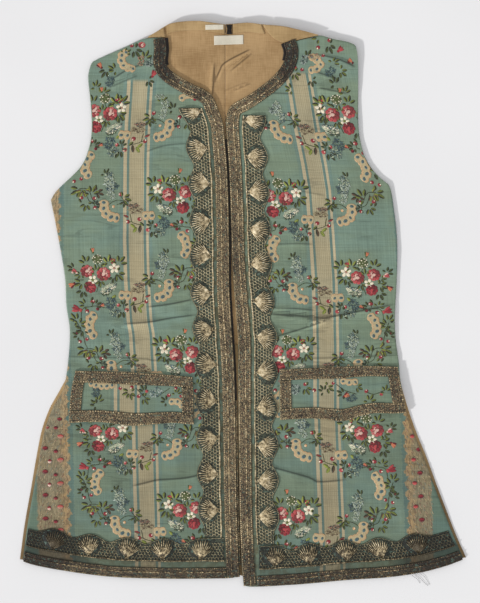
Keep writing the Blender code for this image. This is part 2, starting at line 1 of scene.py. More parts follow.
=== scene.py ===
"""Looks of a long sleeveless waistcoat of brocaded silk, laid flat with its fronts up.

Two silk fronts lie on a linen back.  Metal braid edges the neck, the fronts and the hem, a wide
scalloped lace with raised shells lies inside it, and each front has a braided pocket flap.

Lengths are millimetres here and become metres in the meshes.  X runs across the garment, Y up to
its neck, Z up from the surface it lies on.  Left and right are as seen from above.  The woven
pattern is drawn on a weaver's chart, whose squares are CHART wide: its columns are counted from
the middle of the striped band, and its rows run down the cloth.
"""

import logging
import math
from collections.abc import Callable, Sequence
from dataclasses import dataclass, field
from enum import Enum
from functools import cached_property

import bmesh
import bpy
import numpy as np
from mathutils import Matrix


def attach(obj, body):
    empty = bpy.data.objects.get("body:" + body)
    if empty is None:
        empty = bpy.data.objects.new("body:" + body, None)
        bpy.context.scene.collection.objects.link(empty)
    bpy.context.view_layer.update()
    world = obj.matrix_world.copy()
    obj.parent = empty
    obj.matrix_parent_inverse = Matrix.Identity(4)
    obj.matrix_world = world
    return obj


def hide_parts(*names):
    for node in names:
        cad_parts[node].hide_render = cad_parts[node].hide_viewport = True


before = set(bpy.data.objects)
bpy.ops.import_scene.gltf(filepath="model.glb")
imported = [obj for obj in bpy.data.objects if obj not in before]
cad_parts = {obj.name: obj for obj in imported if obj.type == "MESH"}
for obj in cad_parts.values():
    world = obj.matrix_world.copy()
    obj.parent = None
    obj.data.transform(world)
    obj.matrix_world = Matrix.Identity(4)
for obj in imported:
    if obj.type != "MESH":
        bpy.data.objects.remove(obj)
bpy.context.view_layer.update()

log = logging.getLogger("waistcoat")

Array = np.ndarray
Height = Callable[[Array, Array], Array]
Place = Callable[[Array, Array], Array]
Weaving = Callable[[Array, Array, Array, Array], Array]
Point = tuple[float, float]
Run = tuple[Point, ...]
Runs = tuple[Run, ...]
Triple = tuple[float, float, float]
Colour = Triple
Mesh = bpy.types.Mesh
Material = bpy.types.Material
Thing = bpy.types.Object
Socket = bpy.types.NodeSocket
Tree = bpy.types.NodeTree
Value = Socket | float | tuple[float, ...] | str

MM = 0.001

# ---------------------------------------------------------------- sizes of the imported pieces
BACK_WALL = 1.2
LINING_WALL = 1.0
FRONT_WALL = 1.8
FLAP_WALL = 2.0
BAND_WALL = 1.4
BRAID_WALL = 0.9
LACE_WALL = 0.9
LABEL_WALL = 0.5
SEAM_GAP = 0.3
TRIM_GAP = 0.35

CENTRE_BACK_X = -24.0
BACK_VENT_Y = -110.0
BACK_VENT_HALF_WIDTH = 4.0
BACK_INSET = 4.0
BACK_HEM_RISE = 9.0
BACK_HEM_START_Y = -362.0
BACK_HEM_CLEAR = 40.0
BACK_VENT_SPREAD = (20.0, -40.0)
VENT_SHOW = 4.0
SIDE_VENT_Y = -96.0
SIDE_VENT_RUN = 24.0
HEM_SLOPE = 0.35
LINING_TUCK = 1.6

NECK_BAND_DEPTH = 12.0
NECK_BAND_LEFT = (-0.6, -103.0)
NECK_BAND_RIGHT = (10.4, 24.4)
NECK_BAND_SLANT = 5.0
TIE_FROM_SEAM = (1.4, 9.6)
TIE_TOP = 375.8
TIE_BOTTOM = 363.4
TIE_WAIST = 0.3
TIE_WALL = 1.4
TIE_CROWN = 1.1

EDGE_BRAID_INSET = 0.2
HEM_BRAID_INSET = 0.4
BRAID_PARTING = 1.4
TRIM_END = 1.0
EDGE_BRAID_WIDTH = 17.0
HEM_BRAID_WIDTH = 14.5
FLAP_BRAID_WIDTH = 15.5
FLAP_LIFT = 0.8
FLAP_BRAID_INSET = 0.5
FLAP_BRAID_PARTING = 0.4

LACE_FOOT = 21.0
LACE_VALLEY = 45.0
LACE_TIP = 53.5
HEM_LACE_FOOT = 23.0
HEM_LACE_VALLEY = 47.0
HEM_LACE_TIP = 55.0
LACE_END = 0.6


# ---------------------------------------------------------------- curves and patches
def smooth_run(points: Array, steps: int = 24) -> Array:
    """Runs a Catmull-Rom curve through a run of points.

    Args:
        points: The run, one point a row.
        steps: How many stops lie between two points.

    Returns:
        The points along the curve.
    """
    if len(points) == 2:
        return points
    ends = np.vstack((2 * points[:1] - points[1:2], points, 2 * points[-1:] - points[-2:-1]))
    t = np.arange(steps)[:, None] / steps
    pieces = [0.5 * (2 * q + (r - p) * t + (2 * p - 5 * q + 4 * r - s) * t ** 2
                     + (3 * q - p - 3 * r + s) * t ** 3)
              for p, q, r, s in zip(ends, ends[1:], ends[2:], ends[3:])]
    return np.vstack((*pieces, points[-1:]))


class Path:
    """A line of smooth runs, read by the share of its length from 0 to 1."""

    def __init__(self, runs: Runs | Sequence[Run]) -> None:
        """Joins the runs.

        Args:
            runs: Runs of points, smooth along a run and sharp where runs meet.
        """
        curves = [smooth_run(np.array(run, float)) for run in runs]
        self.points = np.vstack((curves[0], *(curve[1:] for curve in curves[1:])))
        strides = np.linalg.norm(np.diff(self.points, axis=0), axis=1)
        self.lengths = np.concatenate(([0.0], np.cumsum(strides)))
        self.length = float(self.lengths[-1])
        meetings = np.cumsum([len(curve) - 1 for curve in curves])[:-1]
        self.corners = [float(self.lengths[index] / self.length) for index in meetings]

    def at(self, share: Array | float) -> Array:
        """Finds places along the path.

        Args:
            share: Shares of the path's length.

        Returns:
            The points there, in the last axis.
        """
        wanted = np.clip(share, 0.0, 1.0) * self.length
        return np.stack([np.interp(wanted, self.lengths, self.points[:, axis])
                         for axis in (0, 1)], -1)

    def heading(self, share: Array | float) -> Array:
        """Finds the unit direction of the path at shares of its length, over ten millimetres.

        Args:
            share: Shares of the path's length.

        Returns:
            The directions.
        """
        reach = 5.0 / self.length
        run = self.at(np.asarray(share) + reach) - self.at(np.asarray(share) - reach)
        return run / np.linalg.norm(run, axis=-1, keepdims=True)

    def beside(self, share: Array | float, away: Array | float) -> Array:
        """Finds places beside the path.

        Args:
            share: Shares of the path's length.
            away: How far to the left of the way along the path.

        Returns:
            The points there, in the last axis.
        """
        run = self.heading(share)
        left = np.stack((-run[..., 1], run[..., 0]), -1)
        return self.at(share) + left * np.asarray(away)[..., None]

    def x_at(self, y: Array | float) -> Array:
        """Finds the path's x at heights, on a path that runs down."""
        return np.interp(-np.asarray(y), -self.points[:, 1], self.points[:, 0])

    def y_at(self, x: Array | float) -> Array:
        """Finds the path's height at places across, on a path that runs across."""
        turn = 1.0 if self.points[-1, 0] > self.points[0, 0] else -1.0
        return np.interp(turn * np.asarray(x), turn * self.points[:, 0], self.points[:, 1])


def coons(top: Path, bottom: Path, inner: Path, outer: Path) -> Place:
    """Makes the patch inside four paths.

    Args:
        top: The path where v is 0.
        bottom: The path where v is 1.
        inner: The path where u is 0.
        outer: The path where u is 1.

    Returns:
        A function from u and v to points.
    """
    corners = [path.at(end) for path in (top, bottom) for end in (0.0, 1.0)]

    def place(u: Array, v: Array) -> Array:
        """Blends the four paths at u and v.

        Args:
            u: Shares of the way from the inner path to the outer one.
            v: Shares of the way from the top path to the bottom one.

        Returns:
            The points.
        """
        a, b = u[..., None], v[..., None]
        ruled = (1 - b) * top.at(u) + b * bottom.at(u)
        sides = (1 - a) * inner.at(v) + a * outer.at(v)
        twist = ((1 - a) * (1 - b) * corners[0] + a * (1 - b) * corners[1]
                 + (1 - a) * b * corners[2] + a * b * corners[3])
        return ruled + sides - twist

    return place


def stops(length: float, spacing: float, rim: float = 0.0) -> Array:
    """Makes even stops from 0 to 1, with a narrow first and last one.

    Args:
        length: The length that the stops run over.
        spacing: The distance wanted between stops.
        rim: The width of the first and the last step, or 0 for none.

    Returns:
        The stops.
    """
    count = max(int(round((length - 2 * rim) / spacing)), 1)
    middle = np.linspace(rim / length, 1 - rim / length, count + 1)
    return middle if rim == 0 else np.concatenate(([0.0], middle, [1.0]))


def through(stations: Array, corners: Sequence[float]) -> Array:
    """Moves the stops that are nearest to a path's corners onto them.

    Args:
        stations: The stops.
        corners: Where the corners lie, from 0 to 1.

    Returns:
        The moved stops.
    """
    moved = stations.copy()
    for corner in corners:
        moved[1 + int(np.argmin(np.abs(moved[1:-1] - corner)))] = corner
    return moved


# ---------------------------------------------------------------- the outline
@dataclass(frozen=True)
class FlapShape:
    """The four edges of a pocket flap."""

    top: Run
    bottom: Run
    inner: Run
    outer: Run


@dataclass(frozen=True)
class Side:
    """The outline of one half of the garment, and where its lace's shells stand."""

    name: str
    sign: float
    shoulder: Runs
    inner: Runs
    outer: Runs
    hem: Runs
    shell_top: float
    shell_pitch: float
    shells: int
    hem_shell_start: float
    hem_shell_pitch: float
    lace_top: Point
    lace_straight: float
    flap: FlapShape
    back_top: Runs

    @cached_property
    def crest(self) -> Path:
        """The path over the shoulder."""
        return Path(self.shoulder)

    @cached_property
    def edge(self) -> Path:
        """The path down the front's own edge."""
        return Path(self.inner)

    @cached_property
    def foot(self) -> Path:
        """The path along the hem."""
        return Path(self.hem)

    @cached_property
    def neck(self) -> Path:
        """The path along the top of the back."""
        return Path(self.back_top)

    @cached_property
    def vent(self) -> Path:
        """The path of the silk's own edge down the side."""
        return Path(moved_in(self, self.outer, 0.0, VENT_SHOW))


LEFT_FLAP = FlapShape(
    top=((-67.5, -98.0), (-90, -95.8), (-125, -92.8), (-180, -90.2), (-226, -89.2)),
    bottom=((-65.5, -163.0), (-80, -161.8), (-96, -160.6), (-120, -162.6), (-144, -164.4),
            (-165, -162.6), (-190, -159.8), (-212, -159.6), (-235.4, -161.0)),
    inner=((-67.5, -98.0), (-66, -130), (-65.5, -163.0)),
    outer=((-226, -89.2), (-232.4, -120), (-235.4, -161.0)),
)
RIGHT_FLAP = FlapShape(
    top=((49.0, -87.6), (90, -85.8), (130, -83.6), (170, -82.8), (208.6, -83.8)),
    bottom=((49.4, -156.8), (70, -155.4), (97, -154.6), (117, -156.8), (137, -157.8),
            (158, -151.4), (178, -147.4), (198, -147.8), (220.6, -147.2)),
    inner=((49.0, -87.6), (49.0, -120), (49.4, -156.8)),
    outer=((208.6, -83.8), (214.4, -115), (220.6, -147.2)),
)

LEFT = Side(
    name="left", sign=-1.0,
    shoulder=(((-104, 358.5), (-116, 358.6), (-128, 358), (-139, 355.5), (-159, 346.3),
               (-180, 337.3), (-197, 329.6)), ((-197, 329.6), (-202.6, 326.6), (-205.6, 321.4))),
    inner=(((-104, 358.5), (-102.6, 343), (-103.6, 325), (-95.5, 313.4), (-72, 298.6),
            (-51.5, 288.8), (-40.6, 279), (-33.2, 262), (-27, 244), (-24.4, 221), (-20.4, 167),
            (-18.4, 86), (-18.2, 26), (-15.4, -28), (-11.6, -89), (-9.6, -170), (-8.2, -264),
            (-5.6, -345), (-4.2, -366)),),
    outer=(((-205.6, 321.4), (-208, 312), (-208.6, 302), (-205.4, 269), (-204, 235),
            (-208.4, 208), (-220, 183.6), (-250, 154), (-259.2, 140.4)),
           ((-259.2, 140.4), (-252.4, 107), (-240.4, 39), (-238.2, -1), (-233.8, -31),
            (-234, -56), (-237.6, -89), (-247, -116), (-260.6, -140.4), (-271.4, -170),
            (-278.8, -206.6), (-286.4, -251), (-294.4, -296), (-301, -345.6))),
    hem=(((-4.2, -366), (-15, -369.4), (-38, -370.2), (-98, -370.6), (-171.4, -368.4),
          (-228, -361.8), (-279.4, -352.6), (-301, -345.6)),),
    shell_top=259.0, shell_pitch=48.8, shells=12, hem_shell_start=-58.0, hem_shell_pitch=49.4,
    lace_top=(264.0, 270.0), lace_straight=264.0, flap=LEFT_FLAP,
    back_top=(((-24, 376.6), (-42, 379), (-58, 381.1), (-78, 380.7), (-97, 378),
               (-108, 372.4), (-128, 359.6), (-139, 353.6), (-159, 344), (-180, 335),
               (-201, 325)),),
)
RIGHT = Side(
    name="right", sign=1.0,
    shoulder=(((54, 351), (63.5, 351.8), (77, 355.6), (90.5, 358.6), (104, 361.6), (120, 357.2),
               (137.6, 353.8), (146, 351.4)), ((146, 351.4), (151, 348.4), (153.4, 342))),
    inner=(((54, 351), (57.4, 340), (55.4, 328), (48.6, 316), (36.5, 303.2), (20.2, 290.4),
            (0, 277), (-12.4, 270.4), (-19.4, 262.4), (-22.4, 248), (-22.2, 228), (-18.8, 181),
            (-16.2, 113), (-14.6, 57), (-10.8, 5), (-7.6, -35), (-6.4, -62), (-6.4, -130),
            (-5.6, -197), (-4.6, -278), (-2, -345), (0.8, -378.4)),),
    outer=(((153.4, 342), (154.8, 329), (155.3, 302), (155.3, 246), (158, 221.4), (163.4, 201),
            (173, 183.6), (185, 170.2), (196.4, 161)),
           ((196.4, 161), (200, 151), (204, 124), (207.4, 93), (208, 57), (206.6, 19),
            (204.6, -21), (206.4, -52), (210.4, -82), (217.4, -123), (225.6, -150),
            (236.4, -179.6), (247, -205), (262, -246), (275.4, -281), (287.6, -312),
            (301, -343))),
    hem=(((0.8, -378.4), (6.6, -381), (26, -381), (77, -378), (144.4, -372), (191.6, -369),
          (236, -363), (266, -355.6), (286, -349), (301, -343)),),
    shell_top=247.0, shell_pitch=48.5, shells=12, hem_shell_start=42.0, hem_shell_pitch=48.0,
    lace_top=(254.0, 264.0), lace_straight=250.0, flap=RIGHT_FLAP,
    back_top=(((-24, 376.6), (-4, 378.2), (8, 378.8), (26, 376.6), (53, 374.2),
               (77, 369), (104, 360.6), (120, 355), (137, 351.6), (149, 343)),),
)


# The neck edge stands above the surface: at each x its top, its height and how far down it fades.
RISE_X = (-210, -160, -128, -100, -58, 8, 53, 104, 137, 156)
RISE_TOP = (326, 346, 360, 378, 381, 379, 374, 362, 354, 346)
RISE_HEIGHT = (0.3, 0.8, 3.2, 5.6, 6.4, 6.4, 6.0, 4.6, 3.8, 3.4)
RISE_REACH = (30, 30, 32, 34, 34, 34, 38, 50, 62, 70)

# The back's linen over each shoulder: its edges, then its depth, its length and its area.
SHOULDER_LINEN = {
    "left": ((((-106.6, 372.0), (-117, 366.2), (-127.4, 360.2)),
              ((-104.6, 359.2), (-116, 359.3), (-127, 358.8)),
              ((-106.6, 372.0), (-104.6, 359.2)), ((-127.4, 360.2), (-127, 358.8))),
             (13.0, 24.0, 150.0)),
    "right": ((((26.4, 376.0), (53, 373.8), (77, 368.6), (101.6, 362.0)),
               ((53.4, 351.8), (63.4, 352.6), (77, 356.4), (90.4, 359.4), (101, 361.6)),
               ((26.4, 376.0), (33.6, 365.6), (43, 357), (53.4, 351.8)),
               ((101.6, 362.0), (101, 361.6))), (25.0, 79.0, 1010.0)),
}

# Where the lining lies under the fronts, and the width over which they come down beside it.
LINING_LEFT = -117.0
LINING_RIGHT = 70.0
LINING_BOTTOM = -54.0
LINING_MARGIN = 5.0
LINING_FALL = 30.0


# ---------------------------------------------------------------- heights
def ease(value: Array | float) -> Array:
    """Rises smoothly from 0 at 0 to 1 at 1."""
    value = np.clip(value, 0.0, 1.0)
    return value * value * (3 - 2 * value)


@dataclass(frozen=True)
class Fold:
    """A soft ridge in cloth along a run, or a trough where its height is negative.

    A lean above 0 moves the crest to the left of the way along the run, so that flank is steep.
    """

    run: Run
    half_width: float
    height: float
    lean: float = 0.0

    def beside(self, x: Array, y: Array) -> tuple[Array, Array, Array]:
        """Measures places from the fold's run.

        Args:
            x: Places across the garment.
            y: Places up the garment.

        Returns:
            Which places lie near it, how far beside it each of those is as a share of its
            half width, and how much the fold still has of its strength there.
        """
        line = Path((self.run,)).at(np.linspace(0, 1, 33))
        low, high = line.min(0) - self.half_width, line.max(0) + self.half_width
        near = (x > low[0]) & (x < high[0]) & (y > low[1]) & (y < high[1])
        if not near.any():
            return near, np.zeros(0), np.zeros(0)
        ways = np.gradient(line, axis=0)
        stride = np.linalg.norm(ways, axis=1, keepdims=True)
        ways = ways / stride
        gap = np.stack((x[near], y[near]), -1)[:, None, :] - line
        nearest = np.argmin((gap ** 2).sum(-1), 1)
        gap = gap[np.arange(len(nearest)), nearest]
        way = ways[nearest]
        along = (nearest + (gap * way).sum(-1) / stride[nearest, 0]) / (len(line) - 1)
        across = (way[:, 0] * gap[:, 1] - way[:, 1] * gap[:, 0]) / self.half_width
        fade = 0.16 if self.lean else 0.3
        return near, across, ease(along / fade) * ease((1 - along) / fade)

    def over(self, x: Array, y: Array) -> Array:
        """Finds the height that the fold adds at places on the garment.

        Args:
            x: Places across.
            y: Places up.

        Returns:
            The heights.
        """
        near, across, strength = self.beside(x, y)
        flank = np.where(across < self.lean, 1 + self.lean, 1 - self.lean)
        profile = np.cos(np.clip((across - self.lean) / flank, -1, 1) * math.pi / 2) ** 2
        height = np.zeros(x.shape)
        height[near] = self.height * profile * strength
        return height


FOLDS: dict[str, tuple[Fold, ...]] = {
    "left": (
        Fold(((-124, -11), (-68, -9)), 12, 1.6),
        Fold(((-205, -22), (-70, -31)), 10, 1.6),
        Fold(((-222, -48), (-120, -56)), 15, 1.3),
        Fold(((-196, 296), (-128, 309)), 13, 1.6),
        Fold(((-196, 120), (-166, 10)), 34, 1.4),
        Fold(((-166, -260), (-72, -230)), 17, 1.5),
        Fold(((-262, -215), (-236, -300)), 16, 1.2),
        Fold(((-166, -32), (-126, -29), (-98, -24), (-60, -19)), 7, 1.7, 0.55),
        Fold(((-130, -9), (-98, -5), (-64, 2)), 7, 1.6, 0.55),
        Fold(((-132, 200), (-104, 209), (-72, 212)), 7, 0.9, 0.5),
        Fold(((-174, 298), (-146, 314), (-112, 319)), 8, 1.5, 0.55),
        Fold(((-178, 288), (-140, 304)), 6, 0.9, 0.5),
        Fold(((-152, -251), (-119, -242.7), (-109.8, -241.4), (-77.5, -239), (-48, -233)),
             7, 1.5, 0.55),
        Fold(((-246, -74), (-140, -77), (-119, -79.6), (-60, -81)), 5, 0.9, 0.5),
        Fold(((-100, 60), (-72, 58)), 6, 0.7, 0.4),
        Fold(((-214, 70), (-150, 88)), 12, 0.8, 0.3),
        Fold(((-110, 140), (-76, 132)), 8, 0.7, 0.4),
        Fold(((-120, -300), (-80, -300)), 7, 0.6, 0.4),
    ),
    "right": (
        Fold(((44, -16), (96, -19)), 9, 1.6),
        Fold(((52, -40), (200, 0)), 11, 1.7),
        Fold(((70, -66), (196, -42)), 13, 1.3),
        Fold(((92, 318), (146, 324)), 15, 1.8),
        Fold(((96, 287), (148, 291)), 10, 1.2),
        Fold(((150, 165), (170, 20)), 36, 1.4),
        Fold(((52, -232), (122, -256)), 13, 1.5),
        Fold(((176, -190), (236, -320)), 20, 1.3),
        Fold(((34, -9), (66, -10), (98, -13)), 6, 1.3, 0.55),
        Fold(((32, -18), (76, -21), (120, -25)), 7, 1.6, 0.55),
        Fold(((86, -30), (144, -18), (206, -6)), 8, 2.1, 0.6),
        Fold(((38, -51), (90, -35), (122, -23)), 7, 1.5, 0.55),
        Fold(((40, 76), (70, 77), (96, 76)), 7, 1.0, 0.5),
        Fold(((22, 281), (66, 279)), 6, 0.9, 0.5),
        Fold(((98, 331), (124, 325), (150, 314)), 9, 2.0, 0.5),
        Fold(((90, 310), (126, 299)), 7, 1.4, 0.55),
        Fold(((100, 287), (140, 279)), 7, 1.2, 0.5),
        Fold(((28, -222), (44, -225.7), (85, -237), (102, -243.6), (142, -241)), 6, 1.4, 0.55),
        Fold(((70, -77), (122, -76), (216, -72)), 5, 0.9, 0.5),
        Fold(((120, 110), (190, 96)), 13, 0.8, 0.3),
        Fold(((60, 150), (110, 142)), 9, 0.7, 0.4),
    ),
    "lining": (
        Fold(((-39, 328), (-43, 288)), 8, 0.9),
        Fold(((-18, 312), (14, 338)), 9, 1.1),
        Fold(((-14, 286), (12, 297)), 8, 0.8),
        Fold(((-90, 345), (-84, 312)), 12, 0.8),
        Fold(((-34, 299), (-28, 313), (-20.8, 323.1), (13, 341)), 4.6, 1.5, 0.6),
        Fold(((-26, 284), (7, 297)), 4, 0.4, 0.5),
        Fold(((-42, 327), (-43, 305), (-45, 280)), 5, 1.6, 0.5),
    ),
}

SILK_FOLDS = 1.45                # how much deeper than listed the silk's folds lie
SHARP_FOLD = 9.0                 # the widest half width of a fold that gets painted shade and highlight

# Slow rise and fall of cloth that was folded away for long: wave lengths across and up, a turn
# of phase and a height for each.
RIPPLES = ((61, 87, 0.3, 0.30), (-43, 70, 1.9, 0.22), (34, -51, 4.1, 0.16), (92, 29, 2.6, 0.12),
           (23, 140, 5.2, 0.07), (-150, 41, 0.9, 0.16))


def ripple(x: Array, y: Array) -> Array:
    """Finds the slow unevenness of laid cloth at places on the garment.

    Args:
        x: Places across.
        y: Places up.

    Returns:
        The heights.
    """
    total = np.zeros(np.shape(x))
    for long_x, long_y, phase, height in RIPPLES:
        bend = 0.6 * np.sin(x / 71 + y / 53 + phase)
        total += height * np.sin(2 * math.pi * (x / long_x + y / long_y) + phase + bend)
    return total


def folds(name: str, x: Array, y: Array) -> Array:
    """Finds the height that the folds of one piece add at places on the garment.

    Args:
        name: The name of the list of folds.
        x: Places across.
        y: Places up.

    Returns:
        The heights.
    """
    x, y = np.asarray(x, float), np.asarray(y, float)
    depth = 1.0 if name == "lining" else SILK_FOLDS
    return depth * sum((fold.over(x, y) for fold in FOLDS[name]), np.zeros(x.shape))


def with_creases(mesh: Mesh, name: str) -> Mesh:
    """Stores on each point how far it lies beside the nearest sharp fold and how sharp that is, for
    painted shade.

    Args:
        mesh: A cloth.
        name: The name of its list of folds.

    Returns:
        The same mesh.
    """
    points = points_of(mesh)
    x, y = points[:, 0], points[:, 1]
    way, sharp = np.full(x.shape, SHARP_FOLD), np.zeros(x.shape)
    for fold in FOLDS[name]:
        if fold.half_width <= SHARP_FOLD:
            near, across, strength = fold.beside(x, y)
            away = (across - fold.lean) * fold.half_width
            closer = (np.abs(away) < np.abs(way[near])) & (strength > 0)
            spots = np.flatnonzero(near)[closer]
            way[spots] = away[closer]
            sharp[spots] = min(abs(fold.height) / 1.5, 1.0) * np.sqrt(strength[closer])
    set_values(mesh, "crease_way", way)
    set_values(mesh, "crease_sharp", sharp)
    return mesh


def lift(x: Array, y: Array) -> Array:
    """Finds how far the neck edge carries everything up from the surface.

    Args:
        x: Places across.
        y: Places up.

    Returns:
        The heights.
    """
    top, height, reach = (np.interp(x, RISE_X, row) for row in (RISE_TOP, RISE_HEIGHT, RISE_REACH))
    below = np.maximum(top - y, 0.0) / reach
    return height * np.maximum(0.0, 1.0 - below) ** 2


def over_lining(x: Array, y: Array) -> Array:
    """Is 1 where the fronts lie on the lining, and 0 well away from it."""
    inside = np.minimum(np.minimum(x - LINING_LEFT, LINING_RIGHT - x), y - LINING_BOTTOM)
    return ease(1 + (inside + LINING_MARGIN) / LINING_FALL)


def back_top(x: Array, y: Array) -> Array:
    """Finds the height of the back's upper side."""
    return BACK_WALL + lift(x, y)


def lining_top(x: Array, y: Array) -> Array:
    """Finds the height of the lining's upper side, without its folds."""
    return back_top(x, y) + SEAM_GAP + LINING_WALL


def front_top(name: str) -> Height:
    """Gives the upper side of one front, folds and all.

    Args:
        name: The front's name.

    Returns:
        A function from x and y to heights.
    """

    def height(x: Array, y: Array) -> Array:
        """Adds up the layers below the front, its wall and its folds.

        Args:
            x: Places across.
            y: Places up.

        Returns:
            The heights.
        """
        lining = over_lining(x, y) * (LINING_WALL + SEAM_GAP)
        silk = FRONT_WALL + folds(name, x, y) + 0.7 * ripple(x, y)
        return back_top(x, y) + SEAM_GAP + lining + silk

    return height


def raised(height: Height, amount: float) -> Height:
    """Gives a height moved up by an amount."""
    return lambda x, y: height(x, y) + amount


# ---------------------------------------------------------------- meshes
def in_scene(name: str, data: bpy.types.ID) -> Thing:
    """Makes an object of a mesh, a lamp or a camera, and puts it into the scene.

    Args:
        name: The object's name.
        data: What it shows.

    Returns:
        The object, at the origin.
    """
    made = bpy.data.objects.new(name, data)
    bpy.context.scene.collection.objects.link(made)
    return made


def new_piece(name: str, mesh: Mesh, finish: Material, slot: str = "", node: str = "") -> Thing:
    """Puts a mesh into the scene, as a piece that rides with the garment if it has a slot.

    Args:
        name: The piece's name.
        mesh: Its mesh, in metres and in place.
        finish: Its material.
        slot: The name of its kind of material; when given, the piece rides with the garment.
        node: The solid that it replaces.

    Returns:
        The object, at the origin.
    """
    mesh.materials.clear()
    mesh.materials.append(finish)
    mesh.name = name
    piece = in_scene(name, mesh)
    if slot:
        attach(piece, "root")
    if node:
        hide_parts(node)
    log.info("%s: %d faces", name, len(mesh.polygons))
    return piece


def mesh_of(name: str, points: Array, faces: Sequence, lines: Sequence = ()) -> Mesh:
    """Makes a smooth mesh.

    Args:
        name: The mesh's name.
        points: Its points in millimetres, one a row.
        faces: Its faces, as indices of points.
        lines: Its loose edges, as pairs of indices.

    Returns:
        The mesh, in metres.
    """
    mesh = bpy.data.meshes.new(name)
    mesh.from_pydata((np.asarray(points) * MM).tolist(), [tuple(line) for line in lines],
                     [tuple(face) for face in faces])
    mesh.shade_smooth()
    return mesh


def set_map(mesh: Mesh, places: Array) -> None:
    """Gives a mesh the UV map that its weave follows.

    Args:
        mesh: The mesh.
        places: The place of each point on the cloth, in millimetres.
    """
    corners = np.empty(len(mesh.loops), int)
    mesh.loops.foreach_get("vertex_index", corners)
    layer = mesh.uv_layers.new(name="cloth")
    layer.data.foreach_set("uv", (places[corners] * MM).astype(np.float32).ravel())


def set_values(mesh: Mesh, name: str, values: Array) -> None:
    """Stores one number, vector or colour for each point of a mesh.

    Args:
        mesh: The mesh.
        name: The attribute's name.
        values: One value, three or four for each point.
    """
    values = np.asarray(values, np.float32)
    wide = 1 if values.ndim == 1 else values.shape[1]
    kind, field = {1: ("FLOAT", "value"), 3: ("FLOAT_VECTOR", "vector"),
                   4: ("FLOAT_COLOR", "color")}[wide]
    attribute = mesh.attributes.new(name, kind, "POINT")
    attribute.data.foreach_set(field, values.ravel())


def points_of(mesh: Mesh) -> Array:
    """Reads a mesh's points, in millimetres.

    Args:
        mesh: The mesh.

    Returns:
        The points, one a row.
    """
    flat = np.empty(len(mesh.vertices) * 3, np.float32)
    mesh.vertices.foreach_get("co", flat)
    return flat.reshape(-1, 3).astype(float) / MM


def set_points(mesh: Mesh, points: Array) -> None:
    """Moves a mesh's points to places given in millimetres."""
    mesh.vertices.foreach_set("co", (points * MM).astype(np.float32).ravel())
    mesh.update()


def wall(name: str, columns: Array, rows: Array, place: Place, upper: Height,
         thickness: float | Array, weave: Weaving | None = None, roll: float = 0.45) -> Mesh:
    """Makes a closed wall of cloth over a patch, its rim rolled over.

    Args:
        name: The mesh's name.
        columns: The stops of u.
        rows: The stops of v.
        place: The patch.
        upper: The height of its upper side.
        thickness: How thick it is, everywhere or at each stop.
        weave: From u, v, x and y to a place on the cloth; x and y themselves if not given.
        roll: The share of the thickness by which the rim comes down.

    Returns:
        The mesh, with its cloth map.
    """
    u, v = np.meshgrid(columns, rows)
    flat = place(u, v)
    x, y = flat[..., 0], flat[..., 1]
    z = upper(x, y)
    drop = np.ones(z.shape)
    drop[1:-1, 1:-1] = 0.0
    drop = drop * roll * thickness
    top = np.stack((x, y, z - drop), -1).reshape(-1, 3)
    low = np.stack((x, y, z - thickness), -1).reshape(-1, 3)
    count = len(top)
    index = np.arange(count).reshape(z.shape)
    quads = np.stack((index[:-1, :-1], index[:-1, 1:], index[1:, 1:], index[1:, :-1]),
                     -1).reshape(-1, 4)
    rim = np.concatenate((index[0, :-1], index[:-1, -1], index[-1, :0:-1], index[:0:-1, 0]))
    first, second = flat[1, 0] - flat[0, 0], flat[0, 1] - flat[0, 0]
    if second[0] * first[1] - second[1] * first[0] < 0:
        quads, rim = quads[:, ::-1], rim[::-1]
    after = np.roll(rim, -1)
    band = np.stack((rim + count, after + count, after, rim), -1)
    mesh = mesh_of(name, np.vstack((top, low)),
                   np.vstack((quads, quads[:, ::-1] + count, band)).tolist())
    cloth = (flat if weave is None else weave(u, v, x, y)).reshape(-1, 2)
    set_map(mesh, np.vstack((cloth, cloth)))
    return mesh


def tarnish(x: Array, y: Array) -> Array:
    """Finds how dark the metal has gone at places on the garment, from 0 to 1.

    Args:
        x: Places across.
        y: Places up.

    Returns:
        How dark it is.
    """
    total = np.zeros(np.shape(x))
    for spot_x, spot_y, reach_x, reach_y, depth in TARNISHED:
        gap = ((x - spot_x) / reach_x) ** 2 + ((y - spot_y) / reach_y) ** 2
        total = np.maximum(total, depth * np.exp(-gap))
    total = np.maximum(total, (0.46 + 0.12 * ease(x / 40)) * ease((-312 - y) / 30))
    total = np.maximum(total, 0.18 * ease((np.abs(x) - 35) / 12) * ease((-60 - y) / 10))
    return np.clip(total + 0.10 * np.sin(x / 17 + y / 29) * np.sin(y / 41 - x / 23), 0, 1)


# The dark places: x, y, how far each reaches across and up, and how dark it is.
TARNISHED = ((-105, 345, 16, 46, 1.4), (62, 330, 18, 36, 1.3), (30, 296, 26, 14, 0.45),
             (-264, -330, 46, 38, 1.35), (262, -338, 56, 38, 1.35), (-12, -60, 14, 60, 0.25),
             (-14, 60, 10, 60, 0.3), (2, -250, 12, 60, 0.3), (-60, 285, 20, 12, 0.35),
             (20, -372, 60, 8, 0.3), (-60, -366, 60, 8, 0.3))


def with_tarnish(mesh: Mesh) -> Mesh:
    """Stores on each point of a metal piece how dark it has gone there.

    Args:
        mesh: The mesh.

    Returns:
        The same mesh.
    """
    points = points_of(mesh)
    set_values(mesh, "tarnish", tarnish(points[:, 0], points[:, 1]))
    return mesh


